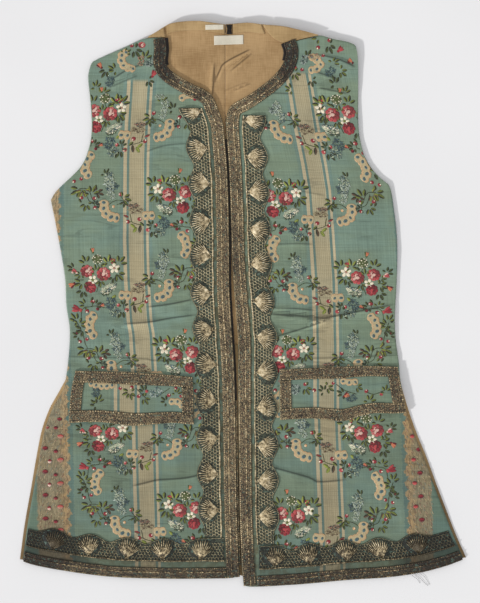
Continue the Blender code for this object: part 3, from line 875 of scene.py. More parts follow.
# ---------------------------------------------------------------- node trees
class Grower:
    """Something with a node tree, and short ways to grow it."""

    tree: Tree

    def add(self, kind: str, inputs: dict | None = None, out: str | int = 0,
            **settings: object) -> Socket:
        """Adds a node.

        Args:
            kind: The node's type.
            inputs: What goes into its sockets: another socket, or a plain value.
            out: The output that is wanted, by its place or its name.
            settings: The node's own settings.

        Returns:
            That output.
        """
        node = self.tree.nodes.new(kind)
        for name, value in settings.items():
            setattr(node, name, value)
        for key, value in (inputs or {}).items():
            socket = self.socket(node.inputs, key)
            if isinstance(value, Socket):
                self.tree.links.new(value, socket)
            else:
                socket.default_value = value
        return self.socket(node.outputs, out)

    def socket(self, sockets: Sequence[Socket], key: str | int) -> Socket:
        """Finds a socket by its place, or by its name among those in use."""
        named = (socket for socket in sockets if socket.name == key and socket.enabled)
        return sockets[key] if isinstance(key, int) else next(named)

    def maths(self, operation: str, first: Value, second: Value = 0.0) -> Socket:
        """Does a sum with two values or sockets."""
        return self.add("ShaderNodeMath", {0: first, 1: second}, operation=operation)

    def times(self, first: Value, second: Value) -> Socket:
        """Multiplies two values or sockets."""
        return self.maths("MULTIPLY", first, second)

    def plus(self, first: Value, second: Value) -> Socket:
        """Adds two values or sockets."""
        return self.maths("ADD", first, second)

    def minus(self, first: Value, second: Value) -> Socket:
        """Takes one value or socket from another."""
        return self.maths("SUBTRACT", first, second)


class NodeWork(Grower):
    """A Geometry Nodes tree with named inputs, run on a mesh to give a plain mesh."""

    name: str
    inputs: dict[str, str]

    def __init__(self) -> None:
        """Starts the tree, grows its own nodes and ends it with real, dressed geometry."""
        self.tree = bpy.data.node_groups.new(self.name, "GeometryNodeTree")
        sockets = {"Geometry": "Geometry", "Material": "Material", **self.inputs}
        self.names = {label: self.tree.interface.new_socket(
            label, in_out="INPUT", socket_type=f"NodeSocket{kind}").identifier
            for label, kind in sockets.items()}
        self.tree.interface.new_socket("Geometry", in_out="OUTPUT",
                                       socket_type="NodeSocketGeometry")
        self.start = self.tree.nodes.new("NodeGroupInput").outputs
        real = self.add("GeometryNodeRealizeInstances", {0: self.build()})
        dressed = self.add("GeometryNodeSetMaterial",
                           {"Geometry": real, "Material": self.start["Material"]})
        self.tree.links.new(dressed, self.tree.nodes.new("NodeGroupOutput").inputs[0])

    def build(self) -> Socket:
        """Grows the tree's own nodes and gives the geometry they make."""
        raise NotImplementedError

    def turned(self, angle: Socket) -> Socket:
        """Makes a rotation about the upright from an angle."""
        angles = self.add("ShaderNodeCombineXYZ", {"Z": angle})
        return self.add("FunctionNodeEulerToRotation", {0: angles})

    def set_out(self, points: Socket, rotation: Socket, scale: Socket) -> Socket:
        """Sets the input Shape on points.

        Args:
            points: The points.
            rotation: Their turns.
            scale: Their sizes.

        Returns:
            The geometry.
        """
        shape = self.add("GeometryNodeObjectInfo", {"Object": self.start["Shape"]}, "Geometry")
        return self.add("GeometryNodeInstanceOnPoints", {
            "Points": points, "Instance": shape, "Rotation": rotation, "Scale": scale})

    def run(self, mesh: Mesh, **values: object) -> Mesh:
        """Runs the tree.

        Args:
            mesh: The mesh that it starts from, used up by this.
            values: The inputs, by name.

        Returns:
            The mesh that it makes.
        """
        carrier = in_scene("carrier", mesh)
        modifier = carrier.modifiers.new("work", "NODES")
        modifier.node_group = self.tree
        for name, value in values.items():
            modifier[self.names[name]] = value
        graph = bpy.context.evaluated_depsgraph_get()
        made = bpy.data.meshes.new_from_object(carrier.evaluated_get(graph), depsgraph=graph)
        carrier.modifiers.clear()
        bpy.data.objects.remove(carrier)
        bpy.data.meshes.remove(mesh)
        return made


class Scatter(NodeWork):
    """Sets a shape on each point, turned and sized by the points' own values."""

    name = "scatter"
    inputs = {"Shape": "Object", "Wobble": "Float", "Seed": "Int"}

    def chance(self, low: Value, high: Value) -> Socket:
        """Gives each point a chance value between two others."""
        return self.add("FunctionNodeRandomValue", {
            "Min": low, "Max": high, "Seed": self.start["Seed"]}, "Value", data_type="FLOAT")

    def build(self) -> Socket:
        """Turns, sizes and sets the shape, each a little unlike the next.

        Returns:
            The geometry.
        """
        turn, size = (self.add("GeometryNodeInputNamedAttribute", {"Name": name}, "Attribute",
                               data_type=kind)
                      for name, kind in (("turn", "FLOAT"), ("size", "FLOAT_VECTOR")))
        wobble = self.start["Wobble"]
        rotation = self.turned(self.plus(turn, self.chance(self.times(wobble, -1.0), wobble)))
        grown = self.times(wobble, 0.5)
        swell = self.chance(self.minus(1.0, grown), self.plus(1.0, grown))
        sized = self.add("ShaderNodeVectorMath", {0: size, "Scale": swell}, operation="SCALE")
        return self.set_out(self.start["Geometry"], rotation, sized)


class Thread(NodeWork):
    """Makes a round thread along each line of edges."""

    name = "thread"
    inputs = {"Radius": "Float", "Sides": "Int"}

    def build(self) -> Socket:
        """Sweeps a round section along the lines.

        Returns:
            The geometry.
        """
        line = self.add("GeometryNodeMeshToCurve", {0: self.start["Geometry"]})
        section = self.add("GeometryNodeCurvePrimitiveCircle", {
            "Resolution": self.start["Sides"], "Radius": self.start["Radius"]})
        swept = self.add("GeometryNodeCurveToMesh", {
            "Curve": line, "Profile Curve": section, "Fill Caps": True})
        return self.add("GeometryNodeSetShadeSmooth", {0: swept})


class Twist(NodeWork):
    """Lays a shape again and again along each line of edges, leaning like plies of a cord."""

    name = "twist"
    inputs = {"Shape": "Object", "Pitch": "Float", "Size": "Vector", "Lean": "Float"}

    def build(self) -> Socket:
        """Walks along the lines by the pitch and sets the shape at each step.

        Returns:
            The geometry.
        """
        line = self.add("GeometryNodeMeshToCurve", {0: self.start["Geometry"]})
        walk = self.add("GeometryNodeCurveToPoints",
                        {"Curve": line, "Length": self.start["Pitch"]}, mode="LENGTH")
        facing = self.add("FunctionNodeAlignRotationToVector",
                          {"Vector": walk.node.outputs["Tangent"]}, axis="X", pivot_axis="Z")
        turned = self.add("FunctionNodeRotateRotation",
                          {0: facing, 1: self.turned(self.start["Lean"])}, rotation_space="LOCAL")
        return self.set_out(walk, turned, self.start["Size"])


def joined(name: str, meshes: Sequence[Mesh]) -> Mesh:
    """Joins meshes into one, with the values stored on their points.

    Args:
        name: The new mesh's name.
        meshes: The meshes, used up by this.

    Returns:
        The joined mesh.
    """
    shape = bmesh.new()
    for mesh in meshes:
        shape.from_mesh(mesh)
    whole = bpy.data.meshes.new(name)
    shape.to_mesh(whole)
    shape.free()
    for mesh in meshes:
        bpy.data.meshes.remove(mesh)
    whole.shade_smooth()
    return whole


# ---------------------------------------------------------------- small shapes to be repeated
def domed(name: str, outline: Array, crown: float, shades: Array | float = 0.0,
          middle: Point = (0.0, 0.0)) -> Mesh:
    """Makes a small closed dome over an outline, a raised float of thread.

    Args:
        name: The mesh's name.
        outline: Its outline, against the clock, one point a row.
        crown: How high its middle stands, in the shape's own unit.
        shades: For each point of the outline, which of two colours shows there, from 0 to 1.
        middle: Where its crown lies.

    Returns:
        The mesh, with its shades.
    """
    count = len(outline)
    ring = np.column_stack((outline, np.zeros(count)))
    inner = ring * 0.62 + np.array((*middle, 0.0)) * 0.38
    inner[:, 2] = crown * 0.8
    points = np.vstack((ring, inner, ((*middle, crown), (*middle, -crown * 0.2))))
    top, low = 2 * count, 2 * count + 1
    faces = []
    for index in range(count):
        after = (index + 1) % count
        faces += [(index, after, count + after, count + index),
                  (count + index, count + after, top), (after, index, low)]
    mesh = mesh_of(name, points, faces)
    rim = np.broadcast_to(np.asarray(shades, float), (count,))
    set_values(mesh, "shade", np.concatenate((rim, rim, (rim.mean(), rim.mean()))))
    return mesh


# ---------------------------------------------------------------- finishes
CHART = 1.35                     # the width of one square of the weaver's chart
CHART_COLUMN = 243.0             # the chart's column and row that meet at the frame's origin
CHART_ROW = 304.0
REPEAT = 81.0                    # the rows of one repeat of the pattern


def dye(red: float, green: float, blue: float) -> tuple[float, float, float, float]:
    """Turns a colour of 0 to 255 a part, as the eye sees it, into the renderer's.

    Args:
        red: The red part.
        green: The green part.
        blue: The blue part.

    Returns:
        The colour, its last part 1.
    """
    parts = [(part / 255 + 0.055) / 1.055 for part in (red, green, blue)]
    return (*[part ** 2.4 if part > 0.0904 else (part * 1.055 - 0.055) / 12.92
              for part in parts], 1.0)


class Dyebath(Grower):
    """A material's node tree, with short ways to grow it."""

    def __init__(self, name: str, roughness: float, **sockets: float) -> None:
        """Starts a material.

        Args:
            name: Its name.
            roughness: Its roughness, all over.
            sockets: The shader's other plain inputs, such as sheen and specular.
        """
        self.material = bpy.data.materials.new(name)
        self.material.use_nodes = True
        self.tree = self.material.node_tree
        self.shader = self.tree.nodes["Principled BSDF"].inputs
        plain = {"metallic": 0.0, "sheen": 0.0, "specular": 0.5, **sockets}
        for word, value in (("Roughness", roughness), ("Metallic", plain["metallic"]),
                            ("Sheen Weight", plain["sheen"]),
                            ("Specular IOR Level", plain["specular"])):
            self.shader[word].default_value = value

    def finish(self, **sockets: Socket) -> Material:
        """Links the shader's inputs, such as Normal, and gives the material.

        Args:
            sockets: The values, by the names of the inputs with _ for a space.

        Returns:
            The material.
        """
        for word, socket in sockets.items():
            self.tree.links.new(socket, self.shader[word.replace("_", " ")])
        return self.material

    def size(self, value: Value) -> Socket:
        """Gives a value without its sign."""
        return self.maths("ABSOLUTE", value)

    def line(self, value: Value, slope: float, start: float) -> Socket:
        """Gives a value times a slope, from a start.

        Args:
            value: The value.
            slope: What it is multiplied by.
            start: What is added.

        Returns:
            The sum.
        """
        made = self.maths("MULTIPLY_ADD", value, slope)
        made.node.inputs[2].default_value = start
        return made

    def spread(self, value: Value, low: float, high: float, to_low: float = 0.0,
               to_high: float = 1.0) -> Socket:
        """Maps a value smoothly from one range to another, held at both ends.

        Args:
            value: The value.
            low: The low end.
            high: The high end.
            to_low: What the low end becomes.
            to_high: What the high end becomes.

        Returns:
            The mapped value.
        """
        return self.add("ShaderNodeMapRange", {
            "Value": value, "From Min": low, "From Max": high, "To Min": to_low,
            "To Max": to_high}, interpolation_type="SMOOTHSTEP")

    def mix(self, share: Value, first: Value, second: Value, blend: str = "MIX") -> Socket:
        """Mixes two colours by a share."""
        return self.add("ShaderNodeMix", {0: share, 6: first, 7: second}, 2, data_type="RGBA",
                        blend_type=blend)

    def scaled(self, colour: Socket, amount: Value) -> Socket:
        """Makes a colour brighter or darker."""
        return self.add("ShaderNodeVectorMath", {0: colour, "Scale": amount}, operation="SCALE")

    def noise(self, vector: Value, scale: float | Triple, detail: float = 2.0,
              rough: float = 0.5) -> Socket:
        """Gives smooth chance values of about 0.3 to 0.7.

        Args:
            vector: The coordinates.
            scale: How fine it is, along all axes or along each.
            detail: How many finer layers it has.
            rough: How strong those are.

        Returns:
            The values.
        """
        if isinstance(scale, tuple):
            vector = self.add("ShaderNodeVectorMath", {0: vector, 1: scale},
                              operation="MULTIPLY")
            scale = 1.0
        return self.add("ShaderNodeTexNoise", {"Vector": vector, "Scale": scale,
                                               "Detail": detail, "Roughness": rough})

    def ramp(self, value: Value, colours: Sequence[tuple[float, tuple]],
             crisp: bool = False) -> Socket:
        """Picks a colour from stops.

        Args:
            value: What picks it, from 0 to 1.
            colours: The stops, each a place and a colour.
            crisp: Whether a colour holds until the next stop.

        Returns:
            The colour.
        """
        made = self.add("ShaderNodeValToRGB", {0: value})
        band = made.node.color_ramp
        band.interpolation = "CONSTANT" if crisp else "LINEAR"
        while len(band.elements) < len(colours):
            band.elements.new(0.5)
        for element, (place, _) in zip(band.elements, colours):
            element.position = place
        for element, (_, colour) in zip(band.elements, colours):
            element.color = colour
        return made

    def held(self, name: str, part: str = "Fac") -> Socket:
        """Reads a value stored on the mesh's points."""
        return self.add("ShaderNodeAttribute", out=part, attribute_name=name)

    def place(self) -> Socket:
        """Gives the object's own coordinates."""
        return self.add("ShaderNodeTexCoord", out="Object")

    def parts(self, vector: Value) -> Sequence[Socket]:
        """Splits coordinates into their three parts."""
        return self.add("ShaderNodeSeparateXYZ", {0: vector}).node.outputs

    def wave(self, value: Value, length: float) -> Socket:
        """Gives a wave of 0 to 1 with the given length over a value."""
        return self.line(self.maths("SINE", self.times(value, 2 * math.pi / length)), 0.5, 0.5)

    def painted_crease_shading(self, depth: float) -> Socket:
        """Gives a brightness of painted shade in the line of a sharp fold, and a painted highlight
        beside it.

        Args:
            depth: How much of its brightness the painted shade in the line takes away.

        Returns:
            The brightness.
        """
        way = self.held("crease_way")
        # Painted shade along the fold's line, and a painted highlight on its other side.
        dark = self.spread(self.size(self.minus(way, 1.1)), 0.2, 1.9, -depth, 0.0)
        pale = self.spread(self.size(self.plus(way, 1.9)), 0.2, 2.6, 0.16, 0.0)
        return self.plus(self.times(self.held("crease_sharp"), self.plus(dark, pale)), 1.0)

    def relief(self, height: Value, depth: float, strength: float = 1.0) -> Socket:
        """Makes a fine relief, its depth in metres."""
        return self.add("ShaderNodeBump", {"Height": height, "Distance": depth,
                                           "Strength": strength})


class Weave(Enum):
    """How a plain cloth is woven, by the threads that show in a centimetre each way."""

    LINEN = (15.0, 14.0)
    TAPE = (24.0, 20.0)


@dataclass(frozen=True)
class PlainCloth:
    """Plain woven cloth: linen, lining or tape."""

    name: str
    thread: Colour
    shade: Colour
    weave: Weave
    roughness: float = 0.9
    stain: float = 0.5
    slub: float = 0.45
    soiled: float = 1.0

    def material(self) -> Material:
        """Makes the finish.

        Returns:
            Crossing threads of uneven thickness, slubs, stains, and painted shade and highlight at
            creases.
        """
        bath = Dyebath(self.name, self.roughness, sheen=0.15, specular=0.2)
        place = bath.place()
        across, up, _ = bath.parts(place)
        warp, weft = (0.01 / count for count in self.weave.value)
        threads = bath.times(bath.wave(across, warp), bath.wave(up, weft))
        slubs = bath.plus(bath.noise(place, (60, 900, 60)), bath.noise(place, (900, 60, 60)))
        cloud = bath.noise(place, 22.0, 4.0, 0.6)
        tone = bath.plus(bath.times(slubs, self.slub), bath.times(cloud, 2 * self.stain))
        tone = bath.plus(tone, bath.times(threads, 0.1))
        share = bath.spread(tone, 0.83 * self.slub + 0.5 * self.stain,
                            1.35 * self.slub + 1.2 * self.stain)
        clean = bath.mix(share, dye(*self.shade), dye(*self.thread))
        # Darker towards the bottom by the soiled share, and painted shade and highlight along sharp
        # creases.
        tone_and_crease_shade = bath.times(bath.spread(up, -0.30, -0.12, self.soiled, 1.0), bath.painted_crease_shading(0.62))
        return bath.finish(Base_Color=bath.scaled(clean, tone_and_crease_shade),
                           Normal=bath.relief(bath.plus(threads, slubs), 0.0003, 0.5))


@dataclass(frozen=True)
class BrocadedSilk:
    """The silk's ground: a striped band up the middle of its width and a feathered side band."""

    name: str
    outer: int
    ground: Colour = (112, 135, 121)
    cool: Colour = (106, 131, 122)
    stripe: Colour = (168, 160, 131)
    pinstripe: Colour = (148, 138, 108)
    border: Colour = (178, 166, 136)
    guard: Colour = (96, 122, 115)
    feather: Colour = (146, 138, 112)
    feather_shade: Colour = (106, 98, 78)
    tooth: Colour = (176, 152, 114)
    selvedge: Colour = (98, 124, 113)
    grime: Colour = (96, 90, 62)
    aging: tuple[float, float, float, float] = (1.09, 0.985, 0.85, 1.0)
    half_chart: float = 110.0
    tooth_pitch: float = 0.0158
    tooth_length: float = 3.4
    tooth_tip: float = 75.0
    selvedge_from: float = 105.0
    stripe_top: float = 0.302

    def bands(self) -> list[tuple[float, tuple]]:
        """Lists the bands across the cloth.

        Returns:
            Where each starts, as a share of the chart's width, and its colour.
        """
        edges = [(-110, self.guard), (-72.5, self.ground), (-16.5, self.cool),
                 (-13.0, self.border), (-9.5, self.guard), (-7.7, self.stripe),
                 (7.5, self.guard), (9.5, self.border), (12.5, self.cool), (15.5, self.ground)]
        if self.outer > 0:
            edges = [(-110, self.ground), *edges[2:], (72.5, self.guard)]
        return [((column + self.half_chart) / (2 * self.half_chart), dye(*colour))
                for column, colour in edges]

    def striped(self, bath: Dyebath, cloth: Socket, up: Socket) -> Socket:
        """Colours the ground, its striped band and the guard of the side band.

        Args:
            bath: The finish.
            cloth: Places on the cloth.
            up: Heights on the garment.

        Returns:
            The colour.
        """
        column = bath.maths("DIVIDE", bath.parts(cloth)[0], CHART * MM)
        near = bath.size(column)
        jag = bath.noise(cloth, (220, 420, 1), 1.0)
        jagged = bath.times(bath.minus(jag, 0.5), bath.spread(near, 40, 70, 0.5, 5.0))
        column = bath.plus(column, jagged)
        colour = bath.ramp(bath.line(column, 0.5 / self.half_chart, 0.5), self.bands(), True)
        pin = bath.times(bath.wave(column, 1.9), bath.spread(near, 7.8, 6.8))
        colour = bath.mix(bath.times(pin, 0.7), colour, dye(*self.pinstripe))
        plain = bath.spread(up, self.stripe_top - 0.004, self.stripe_top + 0.002)
        return bath.mix(plain, colour, dye(*self.ground))

    def feathered(self, bath: Dyebath, colour: Socket, cloth: Socket, away: Socket,
                  strokes: Socket) -> Socket:
        """Adds the side band, with pointed teeth and feathered edges.

        Args:
            bath: The finish.
            colour: The ground's colour.
            cloth: Places on the cloth.
            away: How far each is from the stripe, towards the side.
            strokes: Fine streaks along the warp.

        Returns:
            The colour.
        """
        half = self.tooth_pitch / 2
        teeth = bath.maths("PINGPONG", bath.parts(cloth)[1], half)
        tip = bath.line(teeth, self.tooth_length / half, self.tooth_tip)
        torn = bath.noise(cloth, (150, 190, 1), 3.0, 0.7)
        torn = bath.times(bath.minus(torn, 0.5), 11.0)
        beyond = bath.plus(bath.minus(away, tip), torn)
        furred = bath.mix(bath.spread(beyond, 3.0, 10.0), dye(*self.tooth), dye(*self.feather))
        shaded = bath.times(bath.spread(strokes, 0.42, 0.62), 0.7)
        furred = bath.mix(shaded, furred, dye(*self.feather_shade))
        edge = bath.plus(away, bath.times(torn, 0.6))
        past = bath.spread(edge, self.selvedge_from - 1.2, self.selvedge_from + 1.2)
        furred = bath.mix(past, furred, dye(*self.selvedge))
        return bath.mix(bath.spread(beyond, -0.9, 0.9), colour, furred)

    def soiled(self, bath: Dyebath, cloth: Socket, place: Socket) -> Socket:
        """Gives the brightness: dye streaks, darker to the hem, painted shade and highlight at
        creases.

        Args:
            bath: The finish.
            cloth: Places on the cloth.
            place: Places on the garment.

        Returns:
            The brightness.
        """
        beside, up, _ = bath.parts(place)
        streak = bath.noise(cloth, (9, 560, 1), 3.0, 0.6)
        warped = bath.noise(cloth, (900, 14, 1))
        cloud = bath.noise(cloth, 16.0, 4.0, 0.55)
        light = bath.plus(bath.plus(streak, warped), cloud)
        tone_and_shade = bath.spread(light, 1.05, 1.95, 0.80, 1.2)
        tone_and_shade = bath.times(tone_and_shade, bath.spread(up, -0.34, 0.02, 0.8, 1.0))
        tone_and_shade = bath.times(tone_and_shade, bath.spread(up, -0.352, -0.335, 0.72, 1.0))
        corner = bath.times(bath.spread(bath.size(beside), 0.18, 0.23),
                            bath.spread(up, -0.316, -0.328))
        tone_and_shade = bath.times(tone_and_shade, bath.spread(corner, 0.0, 1.0, 1.0, 0.4))
        # Painted shade in the line of each sharp fold, and a painted highlight beside it.
        tone_and_shade = bath.times(tone_and_shade, bath.painted_crease_shading(0.6))
        # Thin dark lines of painted shade for fine creases, in patches.
        line = bath.size(bath.minus(bath.noise(place, (9, 62, 1), 2.0, 0.6), 0.5))
        deep = bath.spread(bath.noise(place, 14.0, 1.0), 0.5, 0.62, 1.0, 0.8)
        return bath.times(tone_and_shade, bath.maths("MAXIMUM", deep, bath.spread(line, 0.0, 0.03)))

    def material(self) -> Material:
        """Makes the finish.

        Returns:
            Bands with feathered edges and pointed teeth, weft ribs, streaks of uneven dye, creases in
            relief with painted shade and highlight, darker towards the hem, and a soft gloss.
        """
        bath = Dyebath(self.name, 0.52, sheen=0.15, specular=0.35)
        cloth, place = bath.add("ShaderNodeUVMap", uv_map="cloth"), bath.place()
        across, down, _ = bath.parts(cloth)
        up = bath.parts(place)[1]
        column = bath.maths("DIVIDE", across, CHART * MM)
        away = bath.times(column, self.outer)
        strokes = bath.noise(cloth, (500, 130, 1), 3.0, 0.6)
        colour = self.striped(bath, cloth, up)
        colour = self.feathered(bath, colour, cloth, away, strokes)
        aged = bath.noise(place, (7, 15, 1), 4.0, 0.62)
        aged = bath.times(bath.spread(aged, 0.36, 0.6),
                          bath.spread(bath.size(column), 12.0, 16.0, 0.35, 1.0))
        colour = bath.mix(aged, colour, self.aging, "MULTIPLY")
        worn = bath.maths("MAXIMUM", bath.spread(away, -72.0, -75.0),
                          bath.spread(up, -0.336, -0.344, 0.0, 0.6))
        blots = bath.spread(bath.noise(place, 130.0, 3.0, 0.65), 0.4, 0.62, 0.1, 0.85)
        colour = bath.mix(bath.times(worn, blots), colour, dye(*self.grime))
        crease = bath.noise(place, (26, 60, 1), 3.0, 0.55)
        grain = bath.plus(bath.wave(down, 0.0011), bath.noise(cloth, (300, 2400, 1), 1.0))
        grain = bath.plus(grain, bath.times(crease, 13.0))
        return bath.finish(Base_Color=bath.scaled(colour, self.soiled(bath, cloth, place)),
                           Normal=bath.relief(grain, 0.00016, 0.7),
                           Roughness=bath.spread(strokes, 0.3, 0.7, 0.42, 0.62))


@dataclass(frozen=True)
class SilkFloss:
    """Silk floss of the woven figures, coloured by what is stored on the mesh."""

    name: str = "floss"

    def material(self) -> Material:
        """Makes the finish.

        Returns:
            Two colours that meet, with fine floats of thread.
        """
        bath = Dyebath(self.name, 0.45, sheen=0.2, specular=0.45)
        place = bath.place()
        wander = bath.line(bath.noise(place, 900.0, 1.0), 0.5, -0.25)
        told = bath.plus(bath.held("shade"), wander)
        colour = bath.mix(bath.spread(told, 0.3, 0.7), bath.held("paint", "Color"),
                          bath.held("paint_b", "Color"))
        floats = bath.noise(place, (2600, 500, 500), 1.0)
        light = bath.times(bath.spread(floats, 0.3, 0.7, 0.75, 1.2),
                           bath.spread(told, -0.6, 0.1, 0.36, 1.0))
        return bath.finish(Base_Color=bath.scaled(colour, light),
                           Normal=bath.relief(floats, 0.00015, 0.6))


@dataclass(frozen=True)
class MetalThread:
    """Silver-gilt thread, bright on its crests and tarnished in its hollows."""

    name: str
    bright: Colour
    middle: Colour
    dark: Colour
    grain: float = 700.0
    fleck: float = 1.0
    verdigris: float = 0.0
    rust: float = 0.0
    roughness: float = 0.45
    metallic: float = 0.3
    green: Colour = (92, 118, 106)
    brown: Colour = (112, 76, 56)

    def material(self) -> Material:
        """Makes the finish.

        Returns:
            Wound wire, worn bright in places, flecked with green and brown, and dark where
            it has tarnished.
        """
        bath = Dyebath(self.name, self.roughness, metallic=self.metallic)
        place = bath.place()
        fine = bath.noise(place, self.grain, 2.0, 0.7)
        worn = bath.noise(place, 90.0, 3.0, 0.6)
        tone = bath.plus(bath.spread(fine, 0.3, 0.7, 0.2 - 0.5 * self.fleck,
                                     0.2 + 0.5 * self.fleck), bath.times(worn, 0.6))
        tone = bath.minus(tone, bath.times(bath.held("tarnish"), 0.6))
        colour = bath.ramp(tone, ((0.1, dye(*self.dark)), (0.5, dye(*self.middle)),
                                  (0.9, dye(*self.bright))))
        for scale, share, fleck in ((310.0, self.verdigris, self.green),
                                    (270.0, self.rust, self.brown)):
            stretched = bath.add("ShaderNodeVectorMath", {
                0: place, 1: (1, 1, 1 + scale / 1000)}, operation="MULTIPLY")
            spots = bath.noise(stretched, scale, 1.0)
            colour = bath.mix(bath.spread(spots, 0.60, 0.68, 0.0, share), colour, dye(*fleck))
        gloss = bath.spread(worn, 0.3, 0.7, self.roughness + 0.12, self.roughness - 0.08)
        return bath.finish(Base_Color=colour, Roughness=gloss,
                           Normal=bath.relief(fine, 0.0004, 0.8))


@dataclass(frozen=True)
class PaleBoard:
    """The plain pale surface that the garment lies on."""

    name: str = "pale_board"
    tone: Colour = (236, 236, 238)

    def material(self) -> Material:
        """Makes the finish.

        Returns:
            Matt paper with the faintest unevenness.
        """
        bath = Dyebath(self.name, 0.95, specular=0.1)
        share = bath.spread(bath.noise(bath.place(), 3.0), 0.3, 0.7)
        darker = [part - 3 for part in self.tone]
        return bath.finish(Base_Color=bath.mix(share, dye(*darker), dye(*self.tone)))


# ---------------------------------------------------------------- the studio
@dataclass(frozen=True)
class Studio:
    """The pale surface, the light and the camera straight above."""

    view: Point = (-4.05, 3.375)
    view_high: float = 814.05
    camera_above: float = 2400.0
    film: float = 36.0
    floor_half: float = 1400.0
    floor_below: float = 0.4
    sun_from: float = 215.0
    sun_height: float = 27.0
    sun_angle: float = 4.0
    sun_strength: float = 2.3
    sky: float = 0.68

    def build(self) -> None:
        """Sets up the floor, the sun, the sky and the camera."""
        corners = np.array(((-1, -1), (1, -1), (1, 1), (-1, 1))) * self.floor_half
        points = np.column_stack((corners, np.full(4, -self.floor_below)))
        new_piece("floor", mesh_of("floor", points, [(0, 1, 2, 3)]),
                           PaleBoard().material())
        lamp = bpy.data.lights.new("sun", "SUN")
        lamp.energy = self.sun_strength
        lamp.angle = math.radians(self.sun_angle)
        lamp.color = (1.0, 0.985, 0.96)
        turn = math.radians(self.sun_from)
        in_scene("sun", lamp).rotation_euler = (math.radians(90 - self.sun_height), 0.0,
                                                turn + math.pi / 2)
        world = bpy.data.worlds.new("sky")
        world.use_nodes = True
        sky = world.node_tree.nodes["Background"].inputs
        sky["Color"].default_value = (1.0, 1.0, 1.0, 1.0)
        sky["Strength"].default_value = self.sky
        bpy.context.scene.world = world
        bpy.context.scene.view_settings.view_transform = "Standard"
        lens = bpy.data.cameras.new("camera")
        lens.sensor_fit = "VERTICAL"
        lens.sensor_height = self.film
        lens.lens = self.film * self.camera_above / self.view_high
        lens.clip_end = 20.0
        camera = in_scene("camera", lens)
        camera.location = [part * MM for part in (*self.view, self.camera_above)]
        bpy.context.scene.camera = camera


# ---------------------------------------------------------------- the linen back and the neck
def moved_in(side: Side, runs: Runs, above_vents: float, below_vents: float) -> Runs:
    """Moves a side outline towards the middle.

    Args:
        side: The half of the garment.
        runs: The outline.
        above_vents: How far it moves above the side vent.
        below_vents: How far it moves below.

    Returns:
        The moved outline.
    """

    def moved(x: float, y: float) -> Point:
        """Moves one point."""
        share = float(ease((SIDE_VENT_Y + SIDE_VENT_RUN / 2 - y) / SIDE_VENT_RUN))
        return (x - side.sign * (above_vents + (below_vents - above_vents) * share), y)

    return tuple(tuple(moved(*point) for point in run) for run in runs)


def with_ends(runs: Runs, start: Point, end: Point) -> Runs:
    """Replaces the first and the last point of runs.

    Args:
        runs: The runs.
        start: The new first point.
        end: The new last point.

    Returns:
        The runs with those ends.
    """
    points = [list(run) for run in runs]
    points[0][0], points[-1][-1] = start, end
    return tuple(tuple(run) for run in points)


@dataclass(frozen=True)
class LinenBack:
    """One half of the linen back, which shows past the silk down the side vents."""

    side: Side
    finish: Material
    cut: Triple
    breadth: float = 300.0
    spacing: float = 6.0
    rim: float = 0.8

    def paths(self) -> tuple[Path, Path, Path, Path]:
        """Works out the edges of the half back.

        Returns:
            Its top, its hem, its middle seam and vent, and its side.
        """
        side = self.side
        outer = moved_in(side, side.outer, BACK_INSET, 0.0)
        seam_x = CENTRE_BACK_X + side.sign * SEAM_GAP / 2
        vent_x = CENTRE_BACK_X + side.sign * BACK_VENT_HALF_WIDTH
        hem = [(x, y + BACK_HEM_RISE) for x, y in side.hem[0]
               if (x - vent_x) * side.sign > BACK_HEM_CLEAR]
        hem_start = (vent_x, BACK_HEM_START_Y)
        corner = (outer[-1][-1][0], outer[-1][-1][1] + 1.0)
        start = (seam_x, side.back_top[0][0][1])
        top = with_ends(side.back_top, start, side.back_top[0][-1])
        closed, parted = (BACK_VENT_Y + reach for reach in BACK_VENT_SPREAD)
        inner = ((start, (seam_x, closed)), ((seam_x, closed), (vent_x, parted)),
                 ((vent_x, parted), hem_start))
        return (Path(top), Path(((hem_start, *hem[:-2], corner),)), Path(inner),
                Path(with_ends(outer, top[0][-1], corner)))

    def build(self) -> None:
        """Makes the half back."""
        name, edges = self.side.name, self.paths()
        rows = through(stops(edges[2].length, self.spacing, self.rim), edges[3].corners)
        mesh = wall(f"linen_back_{name}", stops(self.breadth, self.spacing, self.rim), rows,
                    coons(*edges), back_top, BACK_WALL)
        piece = new_piece(mesh.name, mesh, self.finish, "linen", f"back_{name}")


